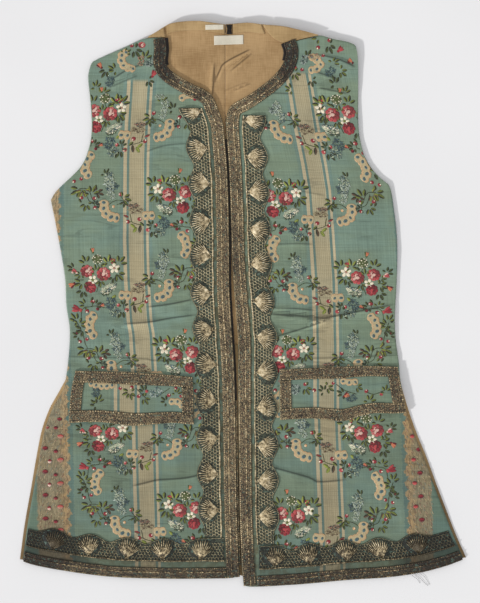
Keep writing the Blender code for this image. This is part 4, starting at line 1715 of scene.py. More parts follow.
@dataclass(frozen=True)
class NeckLining:
    """What shows inside the neck: lining, turned band, tie, two bare labels and the shoulders."""

    lining: Material
    linen: Material
    white_tape: Material
    black_tape: Material
    spacing: float = 2.8
    lining_breadth: float = 93.0
    lining_height: float = 433.0
    lining_cut: Triple = (0.094, 0.435, 0.0402)
    label_cut: Point = (0.0122, 0.0394)
    seam_depth: float = 0.5
    seam_reach: float = 1.6
    band_clear: float = 0.5
    stitch_depth: float = 0.35
    stitch_down: float = 0.86
    stitch_reach: float = 0.06
    label_small: tuple[float, ...] = (-50.6, -26.4, 375.4, 369.0, 0.02)
    label_large: tuple[float, ...] = (-39.0, 0.4, 361.4, 349.2, 0.03)

    def lining_half(self, side: Side) -> None:
        """Makes one half of the lining.

        Args:
            side: The half.
        """
        seam_x = CENTRE_BACK_X + side.sign * SEAM_GAP / 2
        outer_x = LINING_LEFT if side.sign < 0 else LINING_RIGHT

        def place(u: Array, v: Array) -> Array:
            """Runs from the seam out, and down from the neck.

            Args:
                u: Shares of the way out.
                v: Shares of the way down.

            Returns:
                The points.
            """
            x = seam_x + (outer_x - seam_x) * u
            top = side.neck.y_at(x) - LINING_TUCK
            return np.stack((x, top + (LINING_BOTTOM - top) * v), -1)

        def upper(x: Array, y: Array) -> Array:
            """Adds the folds and the dip of the seam to the lining's height."""
            seam = self.seam_depth * np.exp(-((x - CENTRE_BACK_X) / self.seam_reach) ** 2)
            return lining_top(x, y) + folds("lining", x, y) - seam

        mesh = wall(f"neck_lining_{side.name}", stops(self.lining_breadth, self.spacing, 0.6),
                    stops(self.lining_height, self.spacing, 0.6), place, upper, LINING_WALL,
                    roll=0.2)
        piece = new_piece(mesh.name, with_creases(mesh, "lining"), self.lining, "lining",
                          f"back_lining_{side.name}")

    def band_half(self, side: Side) -> None:
        """Makes the band turned in along the neck, on one side of the tie.

        Args:
            side: The side.
        """
        from_seam, far = NECK_BAND_LEFT if side.sign < 0 else NECK_BAND_RIGHT
        near = CENTRE_BACK_X + from_seam
        slant = NECK_BAND_SLANT if side.sign > 0 else 0.0
        long = abs(far - near)

        def place(u: Array, v: Array) -> Array:
            """Runs out from the tie, and down from the neck.

            Args:
                u: Shares of the way out.
                v: Shares of the way down.

            Returns:
                The points.
            """
            x = near + (far + slant * v - near) * u
            return np.stack((x, side.neck.y_at(x) - self.band_clear - NECK_BAND_DEPTH * v),
                            -1)

        def upper(x: Array, y: Array) -> Array:
            """Adds a soft swell and a stitched dent near the lower edge.

            Args:
                x: Places across.
                y: Places up.

            Returns:
                The heights.
            """
            down = (side.neck.y_at(x) - self.band_clear - y) / NECK_BAND_DEPTH
            dent = self.stitch_depth * np.exp(
                -((down - self.stitch_down) / self.stitch_reach) ** 2)
            return (lining_top(x, y) + SEAM_GAP + BAND_WALL + 0.12 * np.sin(x / 5.1)
                    + 0.25 * np.sin(math.pi * np.clip(down, 0, 1)) - dent)

        mesh = wall(f"turned_band_{side.name}", stops(long, 1.8, 0.4),
                    stops(NECK_BAND_DEPTH, 0.9, 0.4), place, upper, BAND_WALL)
        piece = new_piece(mesh.name, mesh, self.linen, "linen", f"neck_band_{side.name}")

    def tie(self) -> None:
        """Makes the flattened knot of black tape."""
        left, right = (CENTRE_BACK_X + reach for reach in TIE_FROM_SEAM)

        def place(u: Array, v: Array) -> Array:
            """Draws the tape in at its middle.

            Args:
                u: Shares of the way across.
                v: Shares of the way along.

            Returns:
                The points.
            """
            x = (left + right) / 2 + (right - left) * (u - 0.5) * (
                1.0 - TIE_WAIST * np.sin(math.pi * v))
            return np.stack((x, TIE_TOP + (TIE_BOTTOM - TIE_TOP) * v), -1)

        def upper(x: Array, y: Array) -> Array:
            """Crowns the knot and crosses it with its turns.

            Args:
                x: Places across.
                y: Places up.

            Returns:
                The heights.
            """
            down = (y - TIE_BOTTOM) / (TIE_TOP - TIE_BOTTOM)
            turns = 0.35 * np.cos(2 * math.pi * (down * 3 + (x - left) / 14))
            return (lining_top(x, y) + SEAM_GAP + TIE_WALL
                    + TIE_CROWN * np.sin(math.pi * down) + turns)

        mesh = wall("black_tie", stops(8.2, 0.7, 0.3), stops(12.4, 0.7, 0.3), place, upper,
                    TIE_WALL)
        new_piece("black_tie", mesh, self.black_tape, "black_tape", "neck_tie")

    def label(self, name: str, sizes: tuple[float, ...], base: Height) -> Thing:
        """Makes one bare tape label, which cockles a little between its stitches.

        Args:
            name: The label's name.
            sizes: Its left, right, top and bottom, and its slope.
            base: The height that it lies on.

        Returns:
            The label.
        """
        left, right, top, bottom, slope = sizes

        def place(u: Array, v: Array) -> Array:
            """Lays the tape straight, a little out of level."""
            x = left + (right - left) * u
            return np.stack((x, top + (bottom - top) * v + (x - left) * slope), -1)

        mesh = wall(f"tape_{name}", stops(right - left, 1.2, 0.3), stops(top - bottom, 1.2, 0.3),
                    place, lambda x, y: base(x, y) + LABEL_WALL
                    + 0.12 * np.sin((x - left) / 3.3) ** 2, LABEL_WALL)
        return new_piece(mesh.name, mesh, self.white_tape, "white_tape", name)

    def shoulder(self, side: Side) -> None:
        """Makes the back's linen where it comes over one shoulder, with a bright fold.

        Args:
            side: The side.
        """
        base = raised(lining_top, SEAM_GAP)
        runs, (deep, long, area) = SHOULDER_LINEN[side.name]
        mesh = wall(f"linen_shoulder_{side.name}", stops(long, 2.0, 0.5), stops(deep, 1.6, 0.4),
                    coons(*(Path((run,)) for run in runs)),
                    lambda x, y: base(x, y) + FRONT_WALL
                    + 0.4 * (0.5 * np.sin((x + y) / 7.0) + 0.3 * np.sin(x / 4.1)), FRONT_WALL)
        piece = new_piece(mesh.name, mesh, self.linen, "linen", f"shoulder_{side.name}")

    def build(self) -> None:
        """Makes every piece inside the neck."""
        for side in (LEFT, RIGHT):
            self.lining_half(side)
            self.band_half(side)
            self.shoulder(side)
        self.tie()
        self.label("label_small", self.label_small,
                   raised(lining_top, SEAM_GAP + BAND_WALL + SEAM_GAP))
        large = self.label("label_large", self.label_large, raised(lining_top, SEAM_GAP))


# ---------------------------------------------------------------- the silk
@dataclass(frozen=True)
class Loom:
    """Where the woven pattern lies on a piece, between the weaver's chart and the garment."""

    rows: tuple[float, ...]
    stripe: Run
    first_turned: bool = False

    def stripe_at(self, row: Array) -> Array:
        """Finds the column of the striped band's middle at rows of the garment."""
        rows, columns = np.array(self.stripe, float).T
        return np.interp(row, rows, columns)

    def to_garment(self, column: Array, down: Array) -> Array:
        """Finds the places on the garment of places on the chart.

        Args:
            column: Squares to the right of the striped band's middle.
            down: Squares down from the pattern's first row.

        Returns:
            The points, in millimetres.
        """
        starts = REPEAT * np.arange(len(self.rows))
        row = np.interp(down, starts, self.rows)
        row = row + np.minimum(down, 0) + np.maximum(np.asarray(down) - starts[-1], 0)
        return np.stack(((self.stripe_at(row) + column - CHART_COLUMN) * CHART,
                         (CHART_ROW - row) * CHART), -1)

    def to_cloth(self, x: Array, y: Array) -> Array:
        """Finds the place on the chart of places on the garment.

        Args:
            x: Places across, in millimetres.
            y: Places up, in millimetres.

        Returns:
            The places on the cloth, in millimetres.
        """
        column, row = x / CHART + CHART_COLUMN, CHART_ROW - y / CHART
        down = np.interp(row, self.rows, REPEAT * np.arange(len(self.rows)))
        down = down + np.minimum(row - self.rows[0], 0) + np.maximum(row - self.rows[-1], 0)
        return np.stack(((column - self.stripe_at(row)) * CHART, down * CHART), -1)


LOOMS = {
    "left": Loom(
        (112, 193, 272, 353, 431.5, 508, 589),
        ((50, 146), (80, 140.5), (120, 138), (160, 136.5), (200, 136.2), (240, 136), (280, 137),
         (318, 139.4), (335, 142), (370, 144), (430, 145), (480, 146), (515, 147), (560, 148))),
    "right": Loom(
        (113, 197, 276, 352, 431, 514, 596),
        ((50, 293), (90, 300.5), (125, 306), (165, 314), (190, 318), (235, 321.5), (280, 324.5),
         (345, 326), (363, 326), (430, 327.5), (480, 329.5), (515, 331), (560, 332.5)),
        first_turned=True),
}
FLAP_LOOMS = {
    "left": Loom((300, 381), ((0, 127), (600, 127))),
    "right": Loom((300, 381), ((0, 326), (600, 326))),
}
PLAIN_LOOM = Loom((0.0, REPEAT), ((0, 0), (600, 0)))


@dataclass(frozen=True)
class SilkFront:
    """One front of brocaded silk."""

    side: Side
    finish: Material
    cut: Triple
    breadth: float = 250.0
    height: float = 740.0
    spacing: float = 2.8
    rim: float = 0.8

    def patch(self) -> Place:
        """Works out the patch that the front covers.

        Returns:
            A function from shares of the way to its side, and down it, to points.
        """
        side = self.side
        outer = moved_in(side, side.outer, 0.0, VENT_SHOW)
        corner = (outer[-1][-1][0], side.hem[0][-1][1] + VENT_SHOW * HEM_SLOPE / 2)
        return coons(side.crest, Path(with_ends(side.hem, side.hem[0][0], corner)), side.edge,
                     Path(with_ends(outer, outer[0][0], corner)))

    def build(self) -> Thing:
        """Makes the front.

        Returns:
            The front.
        """
        side = self.side
        columns = through(stops(self.breadth, self.spacing, self.rim), side.crest.corners)
        rows = through(stops(self.height, self.spacing, self.rim), Path(side.outer).corners)
        mesh = wall(f"silk_front_{side.name}", columns, rows, self.patch(), front_top(side.name),
                    FRONT_WALL, lambda u, v, x, y: LOOMS[side.name].to_cloth(x, y))
        return new_piece(mesh.name, with_creases(mesh, side.name), self.finish, "silk",
                         f"front_{side.name}")

    def declare(self, piece: Thing, figures: list[Thing]) -> None:
        """Takes the front and its woven figures, and does nothing with them."""


@dataclass(frozen=True)
class PocketFlap:
    """One pocket flap, whose lower edge stands off the front a little."""

    side: Side
    finish: Material
    cut: Triple = (0.170, 0.075, 0.0115)
    spacing: float = 2.8
    rim: float = 0.7

    def paths(self) -> tuple[Path, Path, Path, Path]:
        """Gives the flap's top, bottom, inner and outer edges."""
        shape = self.side.flap
        return tuple(Path((run,)) for run in (shape.top, shape.bottom, shape.inner, shape.outer))

    def upper(self) -> Height:
        """Gives the height of the flap's upper side, which lifts towards its lower edge.

        Returns:
            A function from x and y to heights.
        """
        top, bottom, _, _ = self.paths()
        on_front = raised(front_top(self.side.name), TRIM_GAP + FLAP_WALL)

        def height(x: Array, y: Array) -> Array:
            """Adds the lift."""
            high, low = top.y_at(x), bottom.y_at(x)
            return on_front(x, y) + FLAP_LIFT * ease((high - y) / (high - low))

        return height

    def build(self) -> Thing:
        """Makes the flap.

        Returns:
            The flap.
        """
        name, edges = self.side.name, self.paths()
        columns, rows = (stops(edge.length, self.spacing, self.rim) for edge in edges[::2])
        mesh = wall(f"silk_flap_{name}", columns, rows, coons(*edges), self.upper(), FLAP_WALL,
                    lambda u, v, x, y: FLAP_LOOMS[name].to_cloth(x, y))
        return new_piece(mesh.name, mesh, self.finish, "silk", f"flap_{name}")

    def declare(self, piece: Thing, figures: list[Thing]) -> None:
        """Takes the flap and its woven figures, and does nothing with them."""


# ---------------------------------------------------------------- the woven figures
class Floss(Enum):
    """The flosses that the figures are woven in."""

    DARK = (34, 36, 16)
    MOSS = (68, 80, 32)
    OLIVE = (104, 114, 42)
    BRIGHT = (136, 146, 60)
    PALE = (166, 176, 148)
    PINE = (42, 64, 52)
    CRIMSON = (136, 32, 40)
    DEEP = (94, 8, 20)
    ROSE = (172, 64, 66)
    RED = (182, 78, 72)
    BLUSH = (210, 178, 162)
    CREAM = (232, 222, 196)
    KHAKI = (176, 162, 126)
    TAN = (186, 156, 116)
    GOLD = (204, 160, 112)
    ORANGE = (194, 112, 78)
    SLATE = (74, 100, 104)
    SILVER = (174, 186, 176)
    SMOKE = (54, 72, 74)
    BROWN = (88, 64, 42)
    DUN = (164, 118, 98)


Piece = tuple[float, float, float, float, float, float]


def ring_of(count: int, radius: float, long: float, wide: float, lean: float,
            shades: Sequence[float], start: float = 0.0) -> list[Piece]:
    """Lists floats set in a ring.

    Args:
        count: How many there are.
        radius: The ring's radius.
        long: The length of each float.
        wide: The width of each float.
        lean: How far each turns from pointing outwards.
        shades: Which of the two colours each has, over and over.
        start: Where the first one stands.

    Returns:
        Each float's x, y, length, width, turn and colour.
    """
    turns = start + np.arange(count) * 2 * math.pi / count
    return [(radius * math.cos(turn), radius * math.sin(turn), long, wide, turn + lean,
             shades[number % len(shades)]) for number, turn in enumerate(turns)]


def strokes_of(count: int, seed: int) -> list[Piece]:
    """Lists fine crossing strokes that fill an oval, by chance but always the same.

    Args:
        count: How many there are.
        seed: The seed of chance.

    Returns:
        The strokes.
    """
    chance = np.random.default_rng(seed)
    turns, reach = chance.uniform(0, 2 * math.pi, count), chance.uniform(0, 1, count) ** 0.5
    leans = chance.choice((0.5, 1.1, 2.3), count) + chance.uniform(-0.3, 0.3, count)
    return [(0.44 * far * math.cos(turn), 0.44 * far * math.sin(turn), chance.uniform(0.16, 0.3),
             chance.uniform(0.065, 0.1), lean, chance.choice((-0.2, 0.0, 0.45, 1.0)))
            for turn, far, lean in zip(turns, reach, leans)]


class Motif(Enum):
    """The kinds of figure that the pattern is made of."""

    LEAF = "leaf"
    SPRIG = "sprig"
    BERRY = "berry"
    ROSE = "rose"
    BLOSSOM = "blossom"
    QUATREFOIL = "quatrefoil"
    BUD = "bud"
    SEEDS = "seeds"
    HATCH = "hatch"
    EYELET = "eyelet"
    FEATHER = "feather"

    def outline(self, corners: int, wide: float = 1.0) -> Array:
        """Gives a round or pointed outline of unit length, against the clock.

        Args:
            corners: How many corners it has.
            wide: Its width.

        Returns:
            The outline.
        """
        turn = np.arange(corners) * 2 * math.pi / corners
        across = np.sin(turn)
        if self in (Motif.LEAF, Motif.SPRIG, Motif.FEATHER, Motif.HATCH):
            across = across * np.abs(across) ** 0.35
        return np.column_stack((0.5 * np.cos(turn), 0.5 * wide * across))

    def pieces(self) -> list[Piece]:
        """Lists a motif's floats: x, y, length, width, turn and which of its colours.

        Returns:
            The floats.
        """
        if self is Motif.ROSE:
            return [(0, 0, 0.86, 0.86, 0, -0.6),
                    *ring_of(8, 0.36, 0.34, 0.24, 1.7,
                             (0.3, 0.42, 0.34, 0.1, -0.35, -0.5, -0.3, 0.2)),
                    *ring_of(7, 0.25, 0.27, 0.15, 1.2, (0.45, 0.6, 0.2, -0.3, -0.5, 0.3, 0.5)),
                    (0.03, 0.02, 0.46, 0.3, 0.7, 0.7), (0.16, -0.06, 0.24, 0.12, 2.2, 0.9),
                    *ring_of(4, 0.13, 0.2, 0.06, 1.3, (0.1, -0.3)),
                    (0.1, 0.16, 0.2, 0.12, 0.6, 0.9), (-0.3, -0.28, 0.16, 0.12, 0.6, -0.6)]
        if self is Motif.BLOSSOM:
            return [*ring_of(5, 0.28, 0.44, 0.32, 0.0, (0.0, 0.34, 0.1)),
                    (0, 0, 0.26, 0.24, 0, 1.0), (0.06, 0.05, 0.12, 0.1, 0, -0.5)]
        if self is Motif.QUATREFOIL:
            return [*ring_of(5, 0.3, 0.4, 0.32, 0.3, (0.0, 0.3), 0.785),
                    (0, 0, 0.26, 0.24, 0, 1.0)]
        if self is Motif.BUD:
            return [(0, 0.0, 1.0, 0.42, 0, 0.15), (0.06, 0.24, 0.8, 0.34, 0.42, 0.9),
                    (0.06, -0.24, 0.8, 0.34, -0.42, 0.3), (-0.4, 0, 0.36, 0.5, 0, 1.0)]
        if self is Motif.BERRY:
            return [(0, 0, 1.0, 0.94, 0, 0.0), (0.22, 0.12, 0.5, 0.42, 1.2, 1.0)]
        if self is Motif.SEEDS:
            return [(0, 0, 0.9, 0.9, 0, 0.7), (0, 0, 0.17, 0.15, 0, 0.0),
                    *ring_of(5, 0.25, 0.18, 0.15, 0.6, (0.0, 0.5)),
                    *ring_of(13, 0.42, 0.15, 0.1, 0.9, (0.0, 0.9, 0.3))]
        if self is Motif.HATCH:
            return strokes_of(54, 4)
        if self is Motif.EYELET:
            return [(0, 0, 1.0, 0.82, 0, 0.0), (0.08, 0.06, 0.5, 0.34, 0.5, 1.0)]
        return []

    def leaves(self) -> list[Piece]:
        """Lists the leaves of a sprig, which spread from its foot.

        Returns:
            The leaves.
        """
        if self is not Motif.SPRIG:
            return [(0, 0, 1, 1, 0, 0)]
        spread = ((0.05, 0.68), (0.86, 0.58), (-0.8, 0.6), (2.0, 0.44))
        return [(-0.42 + (0.25 + 0.4 * long) * math.cos(turn),
                 (0.25 + 0.4 * long) * math.sin(turn), long, 0.33 * long + 0.13, turn, 0.0)
                for turn, long in spread]

    def shape(self) -> Thing:
        """Makes the motif's shape, of unit size.

        Returns:
            The shape.
        """
        meshes = []
        if self in (Motif.LEAF, Motif.SPRIG, Motif.FEATHER):
            outline = self.outline(8)
            listed = [(*leaf, 0.5 - 1.3 * outline[:, 1]) for leaf in self.leaves()]
        else:
            corners = 4 if self is Motif.HATCH else 8
            outline = self.outline(12 if self in (Motif.EYELET, Motif.BERRY) else corners)
            listed = [(*piece, piece[5]) for piece in self.pieces()]
        for number, (x, y, long, wide, turn, _, shade) in enumerate(listed):
            cos, sin = math.cos(turn), math.sin(turn)
            turned = outline * (long, wide) @ np.array(((cos, sin), (-sin, cos))) + (x, y)
            crown = 0.24 + 0.014 * number
            crown += 0.1 if self in (Motif.EYELET, Motif.BERRY) and number else 0.0
            meshes.append(domed(self.value, turned, crown, shade, (x, y)))
        return bpy.data.objects.new(self.value, joined(self.value, meshes))


Figure = tuple[float, float, float, float, float, str]

# One repeat of the pattern: column, row down, turn in degrees, length, width and two flosses.
FIGURES: dict[Motif, tuple[Figure, ...]] = {
    Motif.ROSE: ((-49.5, -1, 0, 15, 14, "rose blush"), (-33, 2, 30, 15.5, 15, "rose blush"),
                 (-47, 15, -40, 14, 13, "crimson rose")),
    Motif.BLOSSOM: ((-22, -4, 20, 11.5, 11.5, "cream dun"),),
    Motif.QUATREFOIL: ((-44, 8, 10, 10.5, 10.5, "cream olive"),),
    Motif.SEEDS: ((-39, -13, 0, 12, 11, "cream moss"),),
    Motif.BUD: ((-23.5, -11.5, 80, 6, 5, "rose crimson"), (-62, -0.5, 160, 7, 6, "rose blush"),
                (-65, 13, -150, 7, 6, "orange deep"), (-43.5, -22, 100, 6, 5, "orange moss"),
                (-62, 37, 160, 10, 8, "crimson rose"), (-36, 33, 20, 5, 4, "orange deep")),
    Motif.HATCH: (
        (-28, 31, 60, 15, 13, "smoke slate"), (-24, 40, 30, 13, 12, "slate pale"),
        (-27, 66, 80, 14, 12, "slate pale"), (-24, 75, 20, 15, 11, "smoke slate"),
        (-29, 17, 25, 18, 10, "cream pale"), (-31, 20, 20, 13, 8, "pine moss"),
        (26, -6, 80, 13, 9, "pale silver"), (25, 2, 60, 12, 9, "silver pale"),
        (0.5, 18, 0, 17, 7, "khaki brown"), (2.5, 13, 180, 13, 5, "dun smoke"),
        (-27, 70, 140, 13, 13, "pale silver")),
    Motif.BERRY: (
        (15.5, 1.5, 40, 4.2, 4.2, "crimson blush"), (41.5, 5.5, 200, 4.2, 4.2, "crimson cream"),
        (54.5, 5, 20, 4.2, 4, "crimson blush"), (41, 15, 300, 3.8, 3.8, "crimson cream"),
        (-3.5, 27, 190, 4.6, 4.4, "crimson blush"), (8, 29.5, 30, 4.2, 4.2, "crimson cream"),
        (-20, 33, 90, 3.8, 3.8, "rose blush"), (-12, 38, 200, 4.4, 4.2, "rose blush"),
        (-45.5, 29.5, 20, 4.8, 4.6, "crimson blush"), (-41, 37, 150, 3.6, 3.6, "deep crimson"),
        (-51.5, 39, 220, 4.2, 4.2, "crimson cream"), (-64.5, 61, 0, 3.2, 3.2, "deep dark"),
        (-55, 67, 30, 3.8, 3.8, "crimson blush"), (-62, 69.5, 190, 3.8, 3.8, "crimson cream"),
        (22.5, 14, 0, 3, 3.4, "gold cream"), (-66, 48.5, 0, 3, 3, "dark pine")),
    Motif.SPRIG: (
        (-52, -13, 110, 11, 10, "olive dark"), (-27, -13, 80, 12, 11, "bright dark"),
        (-14.5, -12, 50, 12, 11, "olive dark"), (-17, 5, -50, 12, 11, "olive dark"),
        (-24, 8, -100, 9, 8, "moss dark"), (-41, -4, 90, 9, 8, "olive dark"),
        (-59, 12, 200, 11, 10, "olive dark"), (-56, 22, -110, 10, 10, "moss dark"),
        (-37, 12, -100, 9, 8, "olive dark"), (-66, -5, 150, 9, 8, "moss dark"),
        (-59, 3, 190, 8, 7, "olive dark"), (9, 7, 200, 11, 10, "olive dark"),
        (12, 12, -80, 8, 8, "moss dark"), (51, 15, -70, 10, 9, "olive dark"),
        (38, 12, 170, 8, 7, "pine dark"), (-14, 31, 60, 8, 7, "moss dark"),
        (-19, 42, 240, 12, 10, "moss dark"), (-56, 31, 150, 9, 8, "olive dark"),
        (-40, 32, 20, 9, 8, "moss dark"), (-65, 45, 120, 11, 9, "olive dark"),
        (-57, 51, 20, 11, 9, "olive dark"), (-62, 59, 200, 11, 10, "moss dark"),
        (-61, 80, 210, 13, 11, "olive dark"), (-55, 82, -120, 11, 10, "bright brown"),
        (-42, 78, 60, 13, 11, "olive dark"), (-36, 82, -20, 10, 9, "brown dark"),
        (-29, 60, 60, 9, 7, "moss dark"), (-66, 62, 150, 8, 8, "moss dark")),
    Motif.LEAF: (
        (-28.5, 16, 25, 19, 8, "pale slate"), (-31, -8, 30, 5, 3, "olive dark"),
        (-34, -7, 50, 5, 3, "moss dark"),
        (-4, 37, -80, 8, 3.6, "brown dark"), (1, 38, -60, 7, 3.6, "bright olive"),
        (3, 34, 40, 7, 3.4, "bright olive"), (-24, 25, 40, 6, 3.4, "bright olive"),
        (-6, 32, 40, 6, 3, "olive dark"), (10, 24, 20, 6, 2.6, "brown crimson"),
        (-46, 27, 60, 5, 2.6, "moss dark"), (56, 8, 60, 5, 2.6, "moss dark")),
}

Scroll = tuple[Run, float]
SCROLLS: tuple[Scroll, ...] = (
    (((-19, 21.8), (-15.5, 23), (-10, 23.2), (-6.5, 24.2)), 9.2),
    (((31.2, 7), (32, 13), (31, 18.5), (28, 22.5), (23, 24.8), (16, 25.8)), 10.6),
    (((-42, 42), (-46.5, 44.5), (-50, 50), (-51, 56.5), (-49.5, 61.5), (-45, 65)), 10.2),
)
STEMS: tuple[Run, ...] = (
    ((-61, 7), (-57, 8), (-53, 8)), ((10, 9), (18, 7.5), (23, 9), (27, 12)), ((13, 10), (19, 12)),
    ((38, 12), (46, 9), (49, 4), (51, -2)), ((6, 22), (5, 26), (4, 30), (-1, 32), (-6, 33)),
    ((-15, 31), (-15, 35), (-14, 38)),
    ((-33, 36), (-42, 34), (-49, 35), (-54, 35.5), (-57, 39), (-58, 46), (-59, 51)),
    ((-63, 50), (-60, 58), (-58, 66), (-57, 72), (-55, 76)),
    ((-57, 77), (-50, 77), (-46, 81), (-44, 87), (-41, 90), (-36, 95)),
    ((-39, -8), (-36, 0), (-37, 8), (-41, 20)), ((15.5, 3), (13, 7), (10, 9)),
    ((41, 6), (42, 10), (41, 15)), ((-46, 31), (-46, 34), (-49, 35)), ((4, 30), (8, 29)),
)


# Figures that stand outside the repeat, by the chart's own columns and rows.
SHOULDER_FIGURES: dict[str, dict[Motif, tuple[Figure, ...]]] = {
    "left": {
        Motif.BERRY: ((132, 46, 30, 4.4, 4.2, "crimson blush"),
                      (143, 46, 200, 4.4, 4.2, "crimson cream"),
                      (117, 100, 20, 3.6, 3.6, "crimson blush"),
                      (195, 99.5, 20, 4, 4, "crimson deep")),
        Motif.SPRIG: ((147, 55, 60, 11, 9, "olive dark"), (137, 54, -60, 12, 10, "moss dark"),
                      (128, 52, 30, 9, 7, "olive dark"), (158, 64, 70, 10, 8, "moss dark"),
                      (112, 68, 150, 10, 9, "olive dark"), (104, 74, -120, 12, 9, "moss dark"),
                      (97, 84, 80, 10, 8, "olive dark"), (150, 84, -70, 9, 8, "moss dark"),
                      (107, 92, 20, 10, 8, "olive dark"), (165, 100, 40, 9, 8, "olive dark"),
                      (172, 106, 110, 10, 8, "moss dark")),
        Motif.HATCH: ((150, 63, 20, 12, 10, "silver smoke"), (141, 61, 80, 13, 8, "khaki dun"),
                      (110, 82, 60, 13, 10, "slate smoke"), (160, 97, 0, 12, 6, "pale silver")),
        Motif.ROSE: ((142, 45.5, 0, 8, 6.5, "rose blush"),),
        Motif.BUD: ((154, 74, 60, 8, 6, "rose crimson"), (100, 66, 130, 7, 6, "orange deep")),
    },
    "right": {
        Motif.BERRY: ((329, 41, 20, 4.2, 4.2, "crimson blush"),
                      (318, 48, 200, 4.2, 4.2, "crimson cream"),
                      (323, 56, 40, 4, 4, "crimson blush"), (295, 68, 180, 3.6, 3.6, "rose deep"),
                      (302, 70, 20, 4, 4, "crimson blush"), (285, 80, 0, 3.4, 3.4, "crimson rose")),
        Motif.SPRIG: ((315, 36, 140, 10, 9, "olive dark"), (330, 50, -70, 12, 9, "moss dark"),
                      (296, 77, -60, 11, 9, "olive dark"), (309, 54, 60, 10, 8, "moss dark"),
                      (336, 62, 30, 10, 8, "olive dark"), (343, 74, -40, 10, 9, "olive dark"),
                      (334, 80, 100, 11, 9, "moss dark"), (288, 88, 150, 9, 8, "olive dark"),
                      (346, 90, 70, 10, 8, "olive dark"), (312, 84, -80, 9, 8, "moss dark")),
        Motif.BUD: ((340, 50, 40, 7, 6, "rose crimson"), (350, 62, 150, 7, 6, "orange deep")),
        Motif.HATCH: ((304, 60, 60, 12, 9, "silver smoke"), (330, 72, 30, 13, 10, "slate smoke"),
                      (274, 109, 40, 14, 11, "silver smoke"), (282, 118, 70, 12, 10, "slate pale"),
                      (314, 57, 0, 15, 7, "khaki dun")),
    },
}
SHOULDER_SCROLLS: dict[str, tuple[Scroll, ...]] = {
    "left": ((((129, 52.5), (123.5, 54.5), (121.5, 59.5), (124, 65.5), (130, 68.5),
               (136, 69)), 8.8),
             (((180, 101), (184.5, 96.5), (190, 95.6), (196, 97)), 7.2)),
    "right": ((((309, 57), (315, 59), (320, 65), (315, 70), (308, 70)), 8.4),
              (((256, 109), (262, 107)), 7.0)),
}
FLAP_FIGURES: dict[str, dict[Motif, tuple[Figure, ...]]] = {
    "left": {
        Motif.BERRY: ((120.5, 388, 30, 4, 3.8, "crimson blush"),
                      (132, 387, 200, 4, 4, "crimson cream"), (139, 396, 20, 4.2, 4, "crimson blush"),
                      (147, 391, 0, 3.4, 3.4, "rose deep"), (169, 395, 30, 4, 4, "crimson blush"),
                      (176, 388, 200, 3.6, 3.6, "crimson cream"),
                      (181, 396, 0, 3.4, 3.4, "crimson blush")),
        Motif.SPRIG: ((126, 393, 200, 10, 9, "olive dark"), (131, 396, -80, 10, 8, "olive dark"),
                      (143, 388, 120, 10, 8, "moss dark"), (146, 401, -60, 10, 8, "olive dark"),
                      (178, 391, 60, 8, 7, "olive dark"), (164, 399, 140, 9, 8, "moss dark"),
                      (100, 398, 60, 10, 8, "olive dark"), (94, 402, 130, 9, 8, "moss dark")),
        Motif.HATCH: ((156, 392, 20, 15, 11, "silver slate"), (96, 392, 70, 12, 10, "slate smoke")),
    },
    "right": {
        Motif.BERRY: ((305, 384, 30, 4, 4, "crimson blush"), (314, 390, 200, 4, 4, "crimson cream"),
                      (333, 383, 20, 3.6, 3.6, "crimson blush"),
                      (366, 391, 60, 4, 4, "crimson blush"), (381, 394, 200, 3.6, 3.6, "rose deep")),
        Motif.SPRIG: ((307, 391, -60, 11, 9, "olive dark"), (322, 388, 120, 9, 8, "moss dark"),
                      (330, 389, -30, 10, 8, "olive dark"), (340, 392, 150, 9, 8, "moss dark"),
                      (359, 388, -30, 9, 8, "olive dark"), (371, 398, 60, 10, 9, "olive dark"),
                      (386, 388, 80, 9, 8, "olive dark")),
        Motif.HATCH: ((295, 389, 60, 12, 11, "silver smoke"), (351, 398, 10, 13, 9, "slate smoke")),
        Motif.BUD: ((346, 395, 30, 7, 6, "orange deep"),),
    },
}
FLAP_SCROLLS: dict[str, tuple[Scroll, ...]] = {
    "left": ((((89, 382), (98, 385), (106, 385.5), (115, 384)), 8.0),
             (((169, 402.5), (175, 401), (181, 403.5), (183, 408)), 7.0)),
    "right": ((((340, 380), (349, 382), (358, 381)), 7.0),),
}
FLAP_STEMS: dict[str, tuple[Run, ...]] = {
    "left": (((136, 388), (141, 393), (148, 400)), ((157, 397), (164, 392), (170, 388))),
    "right": (((336, 384), (344, 390), (356, 394)), ((366, 392), (374, 394), (384, 390))),
}

# The side bands' rows of diamonds: the first one's column and row, how far each next one moves
# sideways, how many there are, the size of each and its flosses.
DIAMOND_PITCH = 23.4
DIAMONDS: dict[str, tuple[tuple[float, float, float, int, float, float, str], ...]] = {
    "left": ((60.8, 436.2, 0, 5, 7.2, 4.8, "red dun"), (59.8, 419, 0, 1, 5.4, 4, "crimson deep"),
             (56, 427.6, 0, 5, 4.8, 3.8, "deep crimson"),
             (50, 461, -0.2, 3, 4.2, 4.6, "crimson blush"),
             (45.4, 448, 0.1, 4, 6.2, 4.6, "crimson deep"), (54, 394, 1, 1, 5, 4, "crimson dun"),
             (47.4, 427, 0, 1, 4.4, 3.6, "dun crimson")),
    "right": ((412.3, 436, 1.1, 4, 5.4, 4.2, "crimson red"),
              (418.6, 449.3, 1.0, 4, 6.0, 4.6, "crimson deep"),
              (409, 414, 5.5, 1, 3.6, 3.4, "crimson dun"),
              (414.6, 425.4, 0.2, 1, 3.6, 3.4, "crimson deep")),
}


